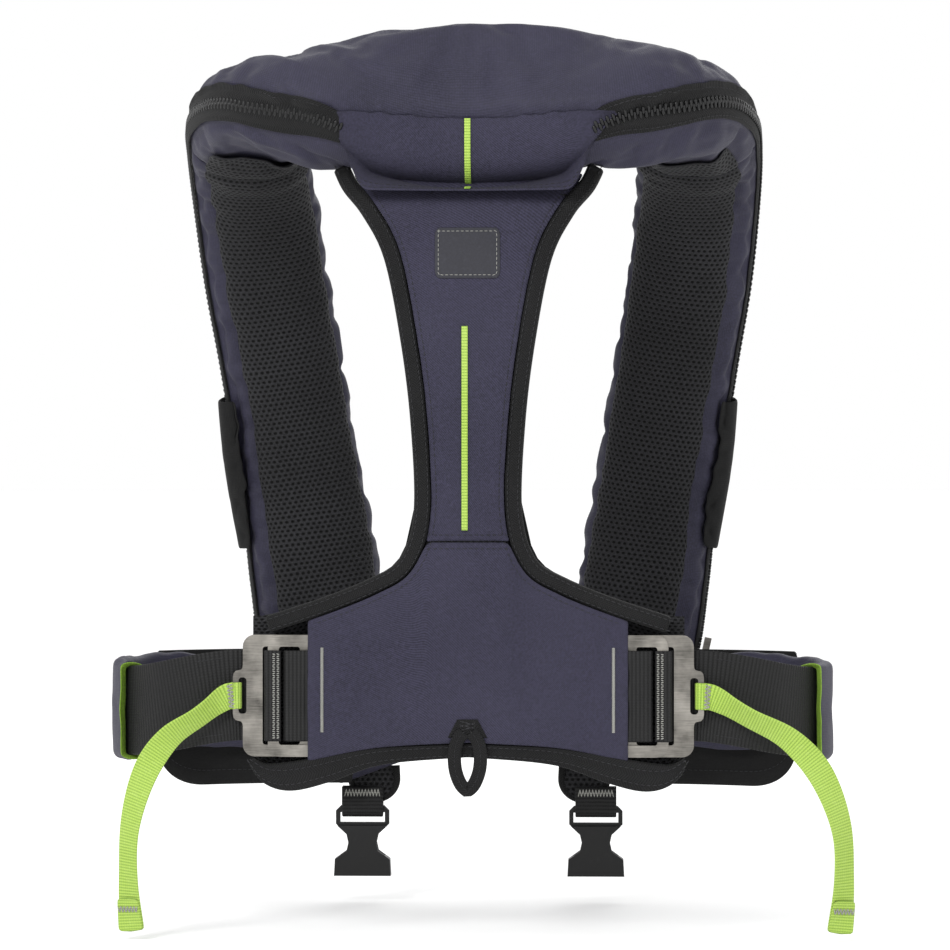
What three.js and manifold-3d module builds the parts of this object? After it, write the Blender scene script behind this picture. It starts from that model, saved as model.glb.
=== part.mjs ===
// Inflatable life jacket, worn shape, buckled. Millimetres, +Z up, +Y the wearer's front,
// +X the wearer's right. The origin is behind the neck, on the symmetry plane, at the height where
// the collar meets the back yoke.

import * as THREE from "three";
import { mergeVertices } from "three/addons/utils/BufferGeometryUtils.js";
import Module from "manifold-3d";

const wasm = await Module();
wasm.setup();

// ---------------------------------------------------------------- driving dimensions
const gap = 0.3;                 // between pieces that touch
const coverWall = 1.5;           // cover fabric with its lining
const meshThickness = 2;         // spacer mesh on the wearer's side of the lobes
const zipThickness = 1.3;
const sectionPoints = 20;        // corners around a padded section
const stationStep = 0.6;         // its rings, in stations of the horseshoe
const skinGap = 1;               // between the cover and what is sewn flat on it

const bladderRoom = 4.1;         // free space between the folded bladder and the cover
const sideTabHeight = 7;

const webWidth = 50;             // belt webbing
const webThickness = 1.6;
const webFoldRadius = 1.2;
const beltHeight = -300;         // middle of the belt at the back
const beltSideDrop = 11;         // how much lower the belt runs at the sides and the front

const outerPlateY = -96.5;       // middle of the outer adjuster plate
const plateThickness = 2;
const plateCorner = 6.5;
const railHeight = 6.5;          // top and bottom rail of a plate
const windowRoom = 2;            // above and below the webbing in a plate's window
const plateHeight = webWidth + 2 * (windowRoom + railHeight);
const outerPlateEnds = [88, 124];
const outerWindowEnds = [92.5, 113.1];
const innerPlateEnds = [80, 110];
const innerWindowEnds = [86, 104];
const tabReach = 5.5;            // pull tab beyond the outer plate
const tabHeight = 28;
const tabSlot = [122, 126.4];
const tabSlotHeight = 20;

const strapWidth = 15;           // pull strap
const strapThickness = 1.3;
const strapHang = 130;           // how far its end hangs below the belt
const strapReachLeft = 187;
const strapReachRight = 206;

const faceThickness = 1.2;       // yoke fabric
const bindingWidth = 9;
const yokeTop = -24.5;
const pocketHalfWidth = 88;      // the belt comes out of the yoke here
const padThickness = 5;

const sleeveRoom = 2;            // above and below the webbing in a sleeve
const sleeveInnerHeight = webWidth + 2 * sleeveRoom;
const sleeveInnerDepth = 7;
const sleeveWall = 1.2;
const liningWall = 0.8;
const liningLength = 14;
const liningShows = 4.5;         // lining that stands out of the sleeve's mouth
const waistPadThickness = 6;
const waistPadTop = webWidth / 2 + 5;          // above and below the belt's middle
const waistPadBottom = webWidth / 2 + 27;

const crotchX = 70;              // crotch strap buckles, under the lobe tips
const crotchY = 106;
const crotchTop = -377;
const crotchHeight = 42;
const crotchWeb = 25;
const crotchWidth = crotchWeb + 7;
const crotchDepth = 10;

// ---------------------------------------------------------------- looks
const fabric = (color) => new THREE.MeshStandardMaterial({ color, roughness: 0.85, metalness: 0 });
const looks = {
  navy: () => fabric(0x45435a),
  black: () => fabric(0x1f1f20),
  mesh: () => fabric(0x161617),
  lime: () => fabric(0xb6e04a),
  grey: () => fabric(0xbdbdb5),
  bladder: () => fabric(0xd8e23c),
  steel: () => new THREE.MeshStandardMaterial({ color: 0x8a8680, roughness: 0.35, metalness: 1 }),
  plastic: () => new THREE.MeshStandardMaterial({ color: 0x1b1b1c, roughness: 0.5, metalness: 0 }),
};

const jacket = new THREE.Group();

function add(name, geometry, look) {
  const mesh = new THREE.Mesh(geometry, look());
  mesh.name = name;
  jacket.add(mesh);
}

// ---------------------------------------------------------------- solids
const sides = [["left", -1], ["right", 1]];

function closedGeometry(points, triangles) {
  let volume = 0;
  for (const [a, b, c] of triangles) {
    volume += points[a].dot(new THREE.Vector3().crossVectors(points[b], points[c]));
  }
  const index = triangles.flatMap(([a, b, c]) => (volume < 0 ? [a, c, b] : [a, b, c]));
  const geometry = new THREE.BufferGeometry().setFromPoints(points);
  geometry.setIndex(index);
  geometry.computeVertexNormals();
  return geometry;
}

// Faces between two rings; each is split along its shorter diagonal, so parallel skins split alike.
function wall(triangles, points, count, low, high) {
  for (let i = 0; i < count; i += 1) {
    const j = (i + 1) % count;
    const [a, b, c, d] = [low + i, low + j, high + j, high + i];
    if (points[a].distanceTo(points[c]) < points[b].distanceTo(points[d])) {
      triangles.push([a, b, c], [a, c, d]);
    } else {
      triangles.push([a, b, d], [b, c, d]);
    }
  }
}

// A solid through a row of rings that all have the same even number of points.
function loft(rings) {
  const count = rings[0].length;
  const points = rings.flat();
  const triangles = [];
  for (let k = 0; k < rings.length - 1; k += 1) {
    wall(triangles, points, count, k * count, (k + 1) * count);
  }
  const cap = (base, flip) => {
    for (let i = 0; i < count / 2 - 1; i += 1) {
      const corners = [base + i, base + i + 1, base + count - 2 - i, base + count - 1 - i];
      const [a, b, c, d] = flip ? corners.reverse() : corners;
      triangles.push([a, c, b], [a, d, c]);
    }
  };
  cap(0, false);
  cap((rings.length - 1) * count, true);
  return closedGeometry(points, triangles);
}

// The same, hollow and open at both ends.
function loftTube(outerRings, innerRings) {
  const count = outerRings[0].length;
  const size = outerRings.length * count;
  const points = [...outerRings.flat(), ...innerRings.flat()];
  const triangles = [];
  for (let k = 0; k < outerRings.length - 1; k += 1) {
    wall(triangles, points, count, k * count, (k + 1) * count);
    wall(triangles, points, count, size + (k + 1) * count, size + k * count);
  }
  wall(triangles, points, count, size, 0);
  wall(triangles, points, count, size - count, 2 * size - count);
  return closedGeometry(points, triangles);
}

// A flat panel whose outline lies in X and Z, between two heights in Y.
function panel(shape, yLow, yHigh) {
  const settings = { depth: yHigh - yLow, bevelEnabled: false, curveSegments: 3 };
  return new THREE.ExtrudeGeometry(shape, settings).rotateX(Math.PI / 2).translate(0, yHigh, 0);
}

function box(xs, ys, zs) {
  const middle = (range) => (range[0] + range[1]) / 2;
  const size = (range) => range[1] - range[0];
  return new THREE.BoxGeometry(size(xs), size(ys), size(zs)).translate(middle(xs), middle(ys), middle(zs));
}

function toManifold(geometry) {
  const bare = geometry.clone();
  bare.deleteAttribute("normal");
  bare.deleteAttribute("uv");
  const merged = mergeVertices(bare, 1e-3);
  const vertProperties = new Float32Array(merged.attributes.position.array);
  const triVerts = new Uint32Array(merged.index.array);
  return new wasm.Manifold(new wasm.Mesh({ numProp: 3, vertProperties, triVerts }));
}

function cut(geometry, ...tools) {
  let solid = toManifold(geometry);
  for (const tool of tools) {
    solid = solid.subtract(toManifold(tool));
  }
  const { vertProperties, triVerts } = solid.getMesh();
  const result = new THREE.BufferGeometry();
  result.setAttribute("position", new THREE.BufferAttribute(vertProperties, 3));
  result.setIndex(new THREE.BufferAttribute(triVerts, 1));
  return result;
}

const mirrored = (geometry, side) => {
  if (side > 0) {
    return geometry;
  }
  const copy = geometry.clone().scale(-1, 1, 1);
  const order = copy.index ? copy.index.array : null;
  if (order) {
    for (let i = 0; i < order.length; i += 3) {
      [order[i], order[i + 1]] = [order[i + 1], order[i]];
    }
    return copy;
  }
  const position = copy.attributes.position;
  for (let i = 0; i < position.count; i += 3) {
    const first = new THREE.Vector3().fromBufferAttribute(position, i);
    const second = new THREE.Vector3().fromBufferAttribute(position, i + 1);
    position.setXYZ(i, second.x, second.y, second.z);
    position.setXYZ(i + 1, first.x, first.y, first.z);
  }
  return copy;
};

// ---------------------------------------------------------------- outlines
const flat = (pairs) => pairs.map(([x, y]) => new THREE.Vector2(x, y));
const smooth = (pairs, steps) => new THREE.SplineCurve(flat(pairs)).getPoints(steps);

function offset(points, distance) {
  return points.map((point, i) => {
    const before = points[Math.max(i - 1, 0)];
    const after = points[Math.min(i + 1, points.length - 1)];
    const along = after.clone().sub(before).normalize();
    return new THREE.Vector2(point.x - along.y * distance, point.y + along.x * distance);
  });
}

function heightAt(points, x) {
  const after = points.findIndex((point) => point.x > x);
  const [low, high] = [points[after - 1], points[after]];
  return THREE.MathUtils.mapLinear(x, low.x, high.x, low.y, high.y);
}

function symmetricShape(rightHalf) {
  const leftHalf = rightHalf.map((point) => new THREE.Vector2(-point.x, point.y)).reverse();
  const middle = (point) => Math.abs(point.x) < 1e-6;
  return new THREE.Shape([...rightHalf, ...leftHalf.filter((point) => !middle(point))]);
}

function roundedBox(xs, ys, radius) {
  const [left, right] = xs;
  const [low, high] = ys;
  const shape = new THREE.Shape();
  shape.absarc(right - radius, high - radius, radius, 0, Math.PI / 2);
  shape.absarc(left + radius, high - radius, radius, Math.PI / 2, Math.PI);
  shape.absarc(left + radius, low + radius, radius, Math.PI, 1.5 * Math.PI);
  shape.absarc(right - radius, low + radius, radius, 1.5 * Math.PI, 2 * Math.PI);
  return shape;
}

// A plan outline through corners, each corner rounded.
function roundedPath(pairs, radius) {
  const corners = flat(pairs);
  const path = [corners[0]];
  for (let i = 1; i < corners.length - 1; i += 1) {
    const into = corners[i].clone().sub(corners[i - 1]).normalize();
    const out = corners[i + 1].clone().sub(corners[i]).normalize();
    const start = corners[i].clone().addScaledVector(into, -radius);
    const end = corners[i].clone().addScaledVector(out, radius);
    path.push(...new THREE.QuadraticBezierCurve(start, corners[i], end).getPoints(4));
  }
  path.push(corners[corners.length - 1]);
  return path;
}

// ---------------------------------------------------------------- the padded horseshoe
// From the back of the neck to the tip of the right lobe: middle of the section, direction of the
// outer edge, half width and half thickness.
const horseshoeHalf = [
  { at: [0, -80, 25], outward: [0, -0.25, -0.97], size: [45, 24] },
  { at: [45, -80, 27], outward: [0.05, -0.45, -0.9], size: [43, 26] },
  { at: [85, -75, 27], outward: [0.3, -0.85, -0.4], size: [38, 33] },
  { at: [114, -58, 25], outward: [0.62, -0.75, 0.1], size: [34, 28] },
  { at: [130, -25, 20], outward: [0.95, -0.3, 0.1], size: [34, 24] },
  { at: [133, 15, 5], outward: [1, 0, 0.05], size: [35, 22] },
  { at: [131, 50, -22], outward: [1, 0, 0], size: [36, 22] },
  { at: [126, 75, -62], outward: [1, 0, 0], size: [36.5, 21.5] },
  { at: [119, 90, -105], outward: [1, 0, 0], size: [36, 21] },
  { at: [112, 100, -150], outward: [1, 0, 0], size: [36, 21] },
  { at: [105, 106, -195], outward: [1, 0, 0], size: [36.5, 20.5] },
  { at: [99, 108, -240], outward: [1, 0, 0], size: [38, 20] },
  { at: [91, 108, -282], outward: [1, 0, 0], size: [39, 18] },
  { at: [78, 107, -325], outward: [1, 0, 0], size: [32, 14] },
  { at: [66, 106, -358], outward: [1, 0, 0], size: [20, 4.3] },
];
const lastStation = horseshoeHalf.length - 1;

function curveThrough(pick) {
  const right = horseshoeHalf.map(pick);
  const left = right.slice(1).reverse().map((v) => new THREE.Vector3(-v.x, v.y, v.z));
  return new THREE.CatmullRomCurve3([...left, ...right], false, "catmullrom", 0.5);
}
const middleCurve = curveThrough(({ at }) => new THREE.Vector3(...at));
const outwardCurve = curveThrough(({ outward }) => new THREE.Vector3(...outward));
const sizes = [...horseshoeHalf.slice(1).reverse(), ...horseshoeHalf];
const sizePoints = sizes.map(({ size }) => new THREE.Vector3(size[0], size[1], 0));
const sizeCurve = new THREE.CatmullRomCurve3(sizePoints, false, "catmullrom", 0.5);

// station counts from 0 at the neck: positive to the right lobe's tip, negative to the left one's.
function frameAt(station) {
  const u = 0.5 + station / (2 * lastStation);
  const along = middleCurve.getTangent(u);
  const across = outwardCurve.getPoint(u);
  across.addScaledVector(along, -across.dot(along)).normalize();
  const out = new THREE.Vector3().crossVectors(across, along).normalize();
  const size = sizeCurve.getPoint(u);
  return { middle: middleCurve.getPoint(u), along, across, out, halfWidth: size.x, halfThickness: size.y };
}

function cornerOf(frame, index, stand) {
  const angle = (index * 2 * Math.PI) / sectionPoints;
  const round = (value) => Math.sign(value) * Math.abs(value) ** 0.85;
  return frame.middle
    .clone()
    .addScaledVector(frame.across, round(Math.cos(angle)) * (frame.halfWidth + stand))
    .addScaledVector(frame.out, round(Math.sin(angle)) * (frame.halfThickness + stand));
}

// A point on the faceted section, so that what lies on the cover follows its facets.
function surfacePoint(station, angle, stand) {
  const low = Math.floor(station / stationStep + 1e-9);
  const share = station / stationStep - low;
  const turn = (angle * sectionPoints) / (2 * Math.PI);
  const side = Math.floor(turn + 1e-9);
  const edge = (ring) => {
    const frame = frameAt(THREE.MathUtils.clamp(ring * stationStep, -lastStation, lastStation));
    return cornerOf(frame, side, stand).lerp(cornerOf(frame, side + 1, stand), turn - side);
  };
  return edge(low).lerp(edge(low + 1), share);
}

function stationsBetween(first, last) {
  const [low, high] = first < last ? [first, last] : [last, first];
  const stations = [low];
  for (let k = Math.floor(low / stationStep) + 1; k * stationStep < high - 0.01; k += 1) {
    if (k * stationStep > low + 0.01) {
      stations.push(k * stationStep);
    }
  }
  return [...stations, high];
}

function sectionRing(station, stand, count = sectionPoints) {
  const step = (2 * Math.PI) / count;
  return Array.from({ length: count }, (_, i) => surfacePoint(station, i * step, stand));
}

function coverBetween(first, last) {
  const stations = stationsBetween(first, last);
  const outer = stations.map((station) => sectionRing(station, 0));
  const inner = stations.map((station) => sectionRing(station, -coverWall));
  return loftTube(outer, inner);
}

// Evenly spaced angles from one edge of a skin to the other.
function skinArc(low, high, count) {
  return Array.from({ length: count + 1 }, (_, i) => low + ((high - low) * i) / count);
}

// A skin that lies on the section between two angles, standing off the cover.
function skinBetween(first, last, anglesAt, stand, thicknessAt, count) {
  const rings = stationsBetween(first, last).map((station) => {
    const arc = skinArc(...anglesAt(station), count);
    const thick = thicknessAt(station);
    const outside = arc.map((angle) => surfacePoint(station, angle, stand + thick));
    const inside = arc.map((angle) => surfacePoint(station, angle, stand)).reverse();
    return [...outside, ...inside];
  });
  return loft(rings);
}

const degrees = THREE.MathUtils.degToRad;
const shoulderStation = 4.5;
const lobeTop = shoulderStation + 0.02;

add("collar_cover", coverBetween(-shoulderStation, shoulderStation), looks.navy);
for (const [name, side] of sides) {
  add(`lobe_cover_${name}`, coverBetween(side * lobeTop, side * lastStation), looks.navy);
}

// Spacer mesh lies on the wearer's side of each lobe, nearer its inner edge.
const meshAngles = () => [degrees(-162), degrees(-54)];
for (const [name, side] of sides) {
  const ends = [side * 5, side * (lastStation - 0.5)];
  const meshPanel = skinBetween(...ends, meshAngles, skinGap, () => meshThickness, 6);
  add(`mesh_panel_${name}`, meshPanel, looks.mesh);
}

// The zip follows the outer edge from the collar flap, over the shoulder and down to the lobe's end.
const zipAngles = () => [degrees(-18), degrees(18)];
const zipEnds = [2, 12.5];
for (const [name, side] of sides) {
  const zip = skinBetween(side * zipEnds[0], side * zipEnds[1], zipAngles, skinGap, () => zipThickness, 2);
  add(`zip_${name}`, zip, looks.black);
}

const sideTabEnds = [8.5, 10.5];
function sideTabBulge(station) {
  const share = (Math.abs(station) - sideTabEnds[0]) / (sideTabEnds[1] - sideTabEnds[0]);
  return 2 + (sideTabHeight - 2) * Math.sin(Math.PI * (0.15 + 0.7 * share));
}
for (const [name, side] of sides) {
  const angles = () => [degrees(-36), degrees(18)];
  const ends = sideTabEnds.map((end) => side * end);
  const sideTab = skinBetween(...ends, angles, 2 * skinGap + zipThickness, sideTabBulge, 3);
  add(`side_tab_${name}`, sideTab, looks.black);
}

// One zip slider near the foot of each lobe, on the zip's outer face.
const sliderStation = 11.8;
const sliderSize = [4, 14, 9];
for (const [name, side] of sides) {
  const station = side * sliderStation;
  const stand = skinGap + zipThickness + gap;
  const across = frameAt(station).halfWidth + stand + sliderSize[0] / 2;
  add(`zip_slider_${name}`, turned(new THREE.BoxGeometry(...sliderSize), station, across, 0), looks.steel);
}

// Pull handle of the manual inflator, on the front of the right lobe.
const handleSize = [26, 16, 9];
const handleStation = 12.7;
const handleOut = frameAt(handleStation).halfThickness + 3 * gap + handleSize[2] / 2;
const handle = new THREE.BoxGeometry(...handleSize);
add("toggle_handle", turned(handle, handleStation, 0, handleOut), looks.lime);

// ---------------------------------------------------------------- inside the cover
const bladderEnd = 10.3;
const bladderRings = stationsBetween(-bladderEnd, bladderEnd).filter((_, i) => i % 2 === 0);
add("bladder", loft(bladderRings.map((s) => sectionRing(s, -coverWall - bladderRoom, 10))), looks.bladder);

function turned(geometry, station, across, out) {
  const frame = frameAt(station);
  const basis = new THREE.Matrix4().makeBasis(frame.across, frame.along, frame.out);
  const place = frame.middle.clone().addScaledVector(frame.across, across).addScaledVector(frame.out, out);
  return geometry.applyMatrix4(basis).translate(place.x, place.y, place.z);
}
const gasRadius = 11;
const gasLength = 62;
const gasNeck = [[0, 0], [3.5, 0], [3.5, 7], [6, 9], [gasRadius, 15]];
const gasProfile = [...gasNeck, [gasRadius, gasLength - 8], [6, gasLength], [0, gasLength]];
const gas = new THREE.LatheGeometry(flat(gasProfile), 20).translate(0, -gasLength / 2, 0);

// How deep the inside of the cover is at a place across the lobe.
function innerDepth(station, across) {
  const { halfWidth, halfThickness } = frameAt(station);
  const share = Math.abs(across) / (halfWidth - coverWall);
  return (halfThickness - coverWall) * (1 - share ** 2.35) ** 0.425;
}
function seated(geometry, station, across, depth) {
  return turned(geometry, station, across, depth + gap - innerDepth(station, across));
}
const headSize = [18, 46, 20];
const headStation = 10.835;
const headAcross = -14;
const gasAcross = headAcross + headSize[0] / 2 + gasRadius + 0.7;
add("gas_cylinder", seated(gas, 11.35, gasAcross, gasRadius + 1.7), looks.steel);
const head = seated(new THREE.BoxGeometry(...headSize), headStation, headAcross, headSize[2] / 2 + 3.5);
add("inflator_head", head, looks.plastic);
add("oral_tube", seated(new THREE.CylinderGeometry(5, 5, 58, 12), -11.2, 12, 6), looks.plastic);
add("whistle", seated(new THREE.BoxGeometry(12, 36, 9), -11.2, -10, 5.8), looks.plastic);

// ---------------------------------------------------------------- collar flap over the zip
const flapThickness = 1.6;
const flapEnd = 2;
const flapStand = 2 * skinGap + zipThickness;
function flapAngles(station) {
  const share = Math.abs(station) / flapEnd;
  const slant = Math.max(0, share - 0.5) / 0.5;
  return [degrees(-9 + 36 * slant), degrees(81 - 27 * share)];
}
const collarFlap = skinBetween(-flapEnd, flapEnd, flapAngles, flapStand, () => flapThickness, 10);
add("collar_flap", collarFlap, looks.navy);

const stripeWidth = 3.2;
const stripeThickness = 0.5;
const collarStripeX = 3.3;
function collarStripe() {
  const stand = flapStand + flapThickness + 2 * gap;
  const arc = skinArc(...flapAngles(0), 10).slice(1);
  const outside = arc.map((angle) => surfacePoint(0, angle, stand + stripeThickness));
  const inside = arc.map((angle) => surfacePoint(0, angle, stand)).reverse();
  const ring = (x) => [...outside, ...inside].map((point) => point.clone().setX(x));
  return loft([ring(collarStripeX - stripeWidth / 2), ring(collarStripeX + stripeWidth / 2)]);
}
add("collar_stripe", collarStripe(), looks.lime);

// ---------------------------------------------------------------- layers of the yoke, from the back inwards
const innerPlateY = outerPlateY - plateThickness - gap;
const webBackY = innerPlateY - plateThickness / 2 - gap - webThickness / 2;   // webbing over the plates
const strapLoopRadius = 2.7;
const webFrontY = outerPlateY + strapLoopRadius + (strapThickness + webThickness) / 2 + gap;
const faceHigh = webBackY - webThickness / 2 - gap - 0.1;
const faceLow = faceHigh - faceThickness;
const padHigh = webFrontY + webThickness / 2 + gap;
const upperPadLow = faceHigh + gap;
const bindingLow = faceLow - gap;
const bindingHigh = padHigh - gap;

const plateTop = beltHeight + plateHeight / 2;
const plateFoot = beltHeight - plateHeight / 2;
const yokeSeam = plateTop + 51.5;
const waistShare = (z) => THREE.MathUtils.mapLinear(z, -24.5, -215, yokeTop, yokeSeam);
const neckOfYoke = [[69, yokeTop + 2.5], [58, waistShare(-36)], [46, waistShare(-60)]];
const waistOfYoke = [[37, waistShare(-105)], [31.5, waistShare(-150)], [29.7, waistShare(-198)]];
const footOfYoke = [[37, yokeSeam - 9], [53, yokeSeam - 20], [80, plateTop + 20.5], [112, plateTop + 10]];
const sideEdge = smooth([...neckOfYoke, ...waistOfYoke, ...footOfYoke], 26);
const sideInner = offset(sideEdge, -bindingWidth);
const insideEdge = offset(sideEdge, -bindingWidth - gap);
const hem = (pairs) => pairs.map(([x, drop]) => [x, plateFoot - drop]);
const bottomInner = smooth(hem([[0, -7.8], [50, -4.9], [88, 2.5], [108, 5], [118, 1.5]]), 12);
const bottomCorner = [[101, 18], [114, 13.5], [121, 2.5]];
const bottomEdge = smooth(hem([[0, 0], [50, 4], [80, 13.5], ...bottomCorner]), 14);

for (const [name, side] of sides) {
  const outline = new THREE.Shape([...sideEdge, ...sideInner.slice().reverse()]);
  const binding = panel(outline, bindingLow, bindingHigh);
  add(`yoke_binding_${name}`, mirrored(binding, side), looks.black);
}
add("yoke_binding_bottom", panel(bottomRing(), bindingLow, bindingHigh), looks.black);

function bottomRing() {
  const otherSide = (point) => new THREE.Vector2(-point.x, point.y);
  const mirror = (points) => points.slice(1).map(otherSide).reverse();
  const upper = [...mirror(bottomInner), ...bottomInner];
  const lower = [...mirror(bottomEdge), ...bottomEdge];
  return new THREE.Shape([...upper, ...lower.reverse()]);
}

const above = (z) => (point) => point.y > z;
const upperFace = insideEdge.filter(above(yokeSeam)).filter((point) => point.y < yokeTop);
const seamX = upperFace[upperFace.length - 1].x;
const upperOutline = symmetricShape([
  new THREE.Vector2(upperFace[0].x, yokeTop),
  ...upperFace,
  new THREE.Vector2(seamX, yokeSeam),
]);
add("yoke_face_upper", panel(upperOutline, faceLow, faceHigh), looks.navy);

const flare = insideEdge.filter((point) => point.y < yokeSeam - gap && point.x < pocketHalfWidth);
const flareEnd = heightAt(insideEdge, pocketHalfWidth);
const baseBottom = offset(bottomInner, gap).filter((point) => point.x < pocketHalfWidth).reverse();
const baseOutline = symmetricShape([
  new THREE.Vector2(seamX, yokeSeam - gap),
  ...flare,
  new THREE.Vector2(pocketHalfWidth, flareEnd),
  new THREE.Vector2(pocketHalfWidth, baseBottom[0].y),
  ...baseBottom,
]);
add("yoke_face_base", panel(baseOutline, faceLow, faceHigh), looks.navy);

const pocketRoof = beltHeight + plateHeight / 2 + 2;
const padFlare = flare.filter(above(pocketRoof));
const padOutline = symmetricShape([
  new THREE.Vector2(upperFace[0].x, yokeTop),
  ...upperFace,
  ...padFlare,
  new THREE.Vector2(pocketHalfWidth, Math.min(flareEnd, pocketRoof + 4)),
  new THREE.Vector2(pocketHalfWidth, pocketRoof),
]);
add("yoke_pad_upper", panel(padOutline, upperPadLow, bindingHigh), looks.mesh);

const padTopEdge = sideEdge.filter((point) => point.y < yokeSeam);
const basePadOutline = symmetricShape([
  ...padTopEdge,
  new THREE.Vector2(119, plateTop + 2.5),
  new THREE.Vector2(121, beltHeight),
  ...bottomEdge.slice().reverse(),
]);
add("yoke_pad_base", panel(basePadOutline, padHigh, padHigh + padThickness), looks.mesh);

const yokeStripeX = -1.6;
const trimLow = faceLow - gap - stripeThickness;
const trimHigh = faceLow - gap;
const stripeX = [yokeStripeX - stripeWidth / 2, yokeStripeX + stripeWidth / 2];
add("yoke_stripe", box(stripeX, [trimLow, trimHigh], [yokeSeam + 5, -95.5]), looks.lime);
add("blank_patch", panel(roundedBox([-19, 19], [-72, -42], 4), trimLow - 0.4, trimHigh), looks.grey);
for (const [name, side] of sides) {
  const bar = box([79, 80.8], [trimLow, trimHigh], [plateFoot + 13.5, plateTop - 6.5]);
  add(`bartack_${name}`, mirrored(bar, side), looks.grey);
}

// ---------------------------------------------------------------- tape loop at the yoke's foot
const anchorTop = plateFoot + 20.5;
const anchorFoot = anchorTop - 9;
const loopHigh = trimLow - gap;
const anchorHalf = flat([[5.5, anchorTop], [11, anchorFoot]]);
const loopAnchor = symmetricShape(anchorHalf);
add("loop_anchor", panel(loopAnchor, trimLow, trimHigh), looks.black);
const loopTop = [[4, anchorTop - 3], [11, anchorFoot]];
const loopHalf = flat([...loopTop, [11.3, anchorTop - 29], [2.5, anchorTop - 43]]);
const loopShape = symmetricShape(loopHalf);
const eye = [[-1.2, anchorTop - 17], [-3.8, anchorTop - 34], [3.8, anchorTop - 34], [1.2, anchorTop - 17]];
loopShape.holes.push(new THREE.Path(flat(eye)));
add("back_loop", panel(loopShape, loopHigh - 2.4, loopHigh), looks.black);

// ---------------------------------------------------------------- belt webbing
// A band that stands upright on a plan outline; middle(i) is its height at each point.
function uprightBand(plan, middle, top, bottom, shift, thickness) {
  const outer = offset(plan, shift + thickness / 2);
  const inner = offset(plan, shift - thickness / 2);
  const rings = plan.map((_, i) => {
    const z = middle(i);
    return [
      new THREE.Vector3(outer[i].x, outer[i].y, z + top(i)),
      new THREE.Vector3(inner[i].x, inner[i].y, z + top(i)),
      new THREE.Vector3(inner[i].x, inner[i].y, z - bottom(i)),
      new THREE.Vector3(outer[i].x, outer[i].y, z - bottom(i)),
    ];
  });
  return rings;
}
const halfWeb = () => webWidth / 2;
const webBand = (plan, middle) => loft(uprightBand(plan, middle, halfWeb, halfWeb, 0, webThickness));

const backFoldX = 100.6;
const backTail = 74;
const backPlan = roundedPath(
  [
    [-backTail, webBackY], [-backFoldX, webBackY], [-backFoldX, webFrontY],
    [backFoldX, webFrontY], [backFoldX, webBackY], [backTail, webBackY],
  ],
  webFoldRadius + webThickness / 2,
);
add("belt_back", webBand(backPlan, () => beltHeight), looks.black);

const frontEnd = 12;
const beltFront = 76;
const waistBack = [[128, webFrontY], [150, -90], [176, -77], [194, -50]];
const waistSide = [[200.5, -12], [194, 24], [171, 51], [135, 68], [100, 74.5]];
const waist = smooth([...waistBack, ...waistSide, [60, beltFront], [frontEnd, beltFront]], 32);
const sideFoldX = (innerPlateEnds[1] + outerWindowEnds[1]) / 2 - 0.2;
const foldOut = [[backFoldX + 2.2, webBackY], [sideFoldX, webBackY]];
const foldBack = [[sideFoldX, webFrontY], [outerPlateEnds[1], webFrontY]];
const sideFold = roundedPath([...foldOut, ...foldBack], webFoldRadius + webThickness / 2);
const sidePlan = [...sideFold, ...waist];
const sinking = (point) => {
  const share = THREE.MathUtils.clamp((point.x - 124) / 76, 0, 1);
  return point.y > 0 ? 1 : share * share * (3 - 2 * share);
};
const beltMiddle = (points) => (i) => beltHeight - beltSideDrop * Math.max(sinking(points[i]), 0);

for (const [name, side] of sides) {
  add(`belt_${name}`, mirrored(webBand(sidePlan, beltMiddle(sidePlan)), side), looks.black);
}

// ---------------------------------------------------------------- steel slide adjusters
const plateZ = [plateFoot, plateTop];
const windowZ = [plateZ[0] + railHeight, plateZ[1] - railHeight];

function framePlate(ends, windowEnds, y) {
  const shape = roundedBox(ends, plateZ, plateCorner);
  shape.holes.push(roundedBox(windowEnds, windowZ, 1.6));
  return panel(shape, y - plateThickness / 2, y + plateThickness / 2);
}

function outerPlateShape() {
  const [left, right] = outerPlateEnds;
  const [low, high] = plateZ;
  const r = plateCorner;
  const tabZ = [beltHeight - tabHeight / 2, beltHeight + tabHeight / 2];
  const reach = right + tabReach;
  const shape = new THREE.Shape();
  shape.absarc(right - r, high - r, r, Math.PI / 2, 0, true);
  shape.lineTo(right, tabZ[1] + 3);
  shape.quadraticCurveTo(right, tabZ[1], right + 2, tabZ[1]);
  shape.quadraticCurveTo(reach, tabZ[1], reach, tabZ[1] - 4);
  shape.lineTo(reach, tabZ[0] + 4);
  shape.quadraticCurveTo(reach, tabZ[0], right + 2, tabZ[0]);
  shape.quadraticCurveTo(right, tabZ[0], right, tabZ[0] - 3);
  shape.absarc(right - r, low + r, r, 0, -Math.PI / 2, true);
  shape.absarc(left + r, low + r, r, -Math.PI / 2, -Math.PI, true);
  shape.absarc(left + r, high - r, r, Math.PI, Math.PI / 2, true);
  shape.holes.push(roundedBox(outerWindowEnds, windowZ, 1.6));
  const slotZ = [beltHeight - tabSlotHeight / 2, beltHeight + tabSlotHeight / 2];
  shape.holes.push(roundedBox(tabSlot, slotZ, 1.8));
  return shape;
}

for (const [name, side] of sides) {
  const innerPlate = framePlate(innerPlateEnds, innerWindowEnds, innerPlateY);
  const outerYs = [outerPlateY - plateThickness / 2, outerPlateY + plateThickness / 2];
  add(`adjuster_inner_${name}`, mirrored(innerPlate, side), looks.steel);
  add(`adjuster_outer_${name}`, mirrored(panel(outerPlateShape(), ...outerYs), side), looks.steel);
}

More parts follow.
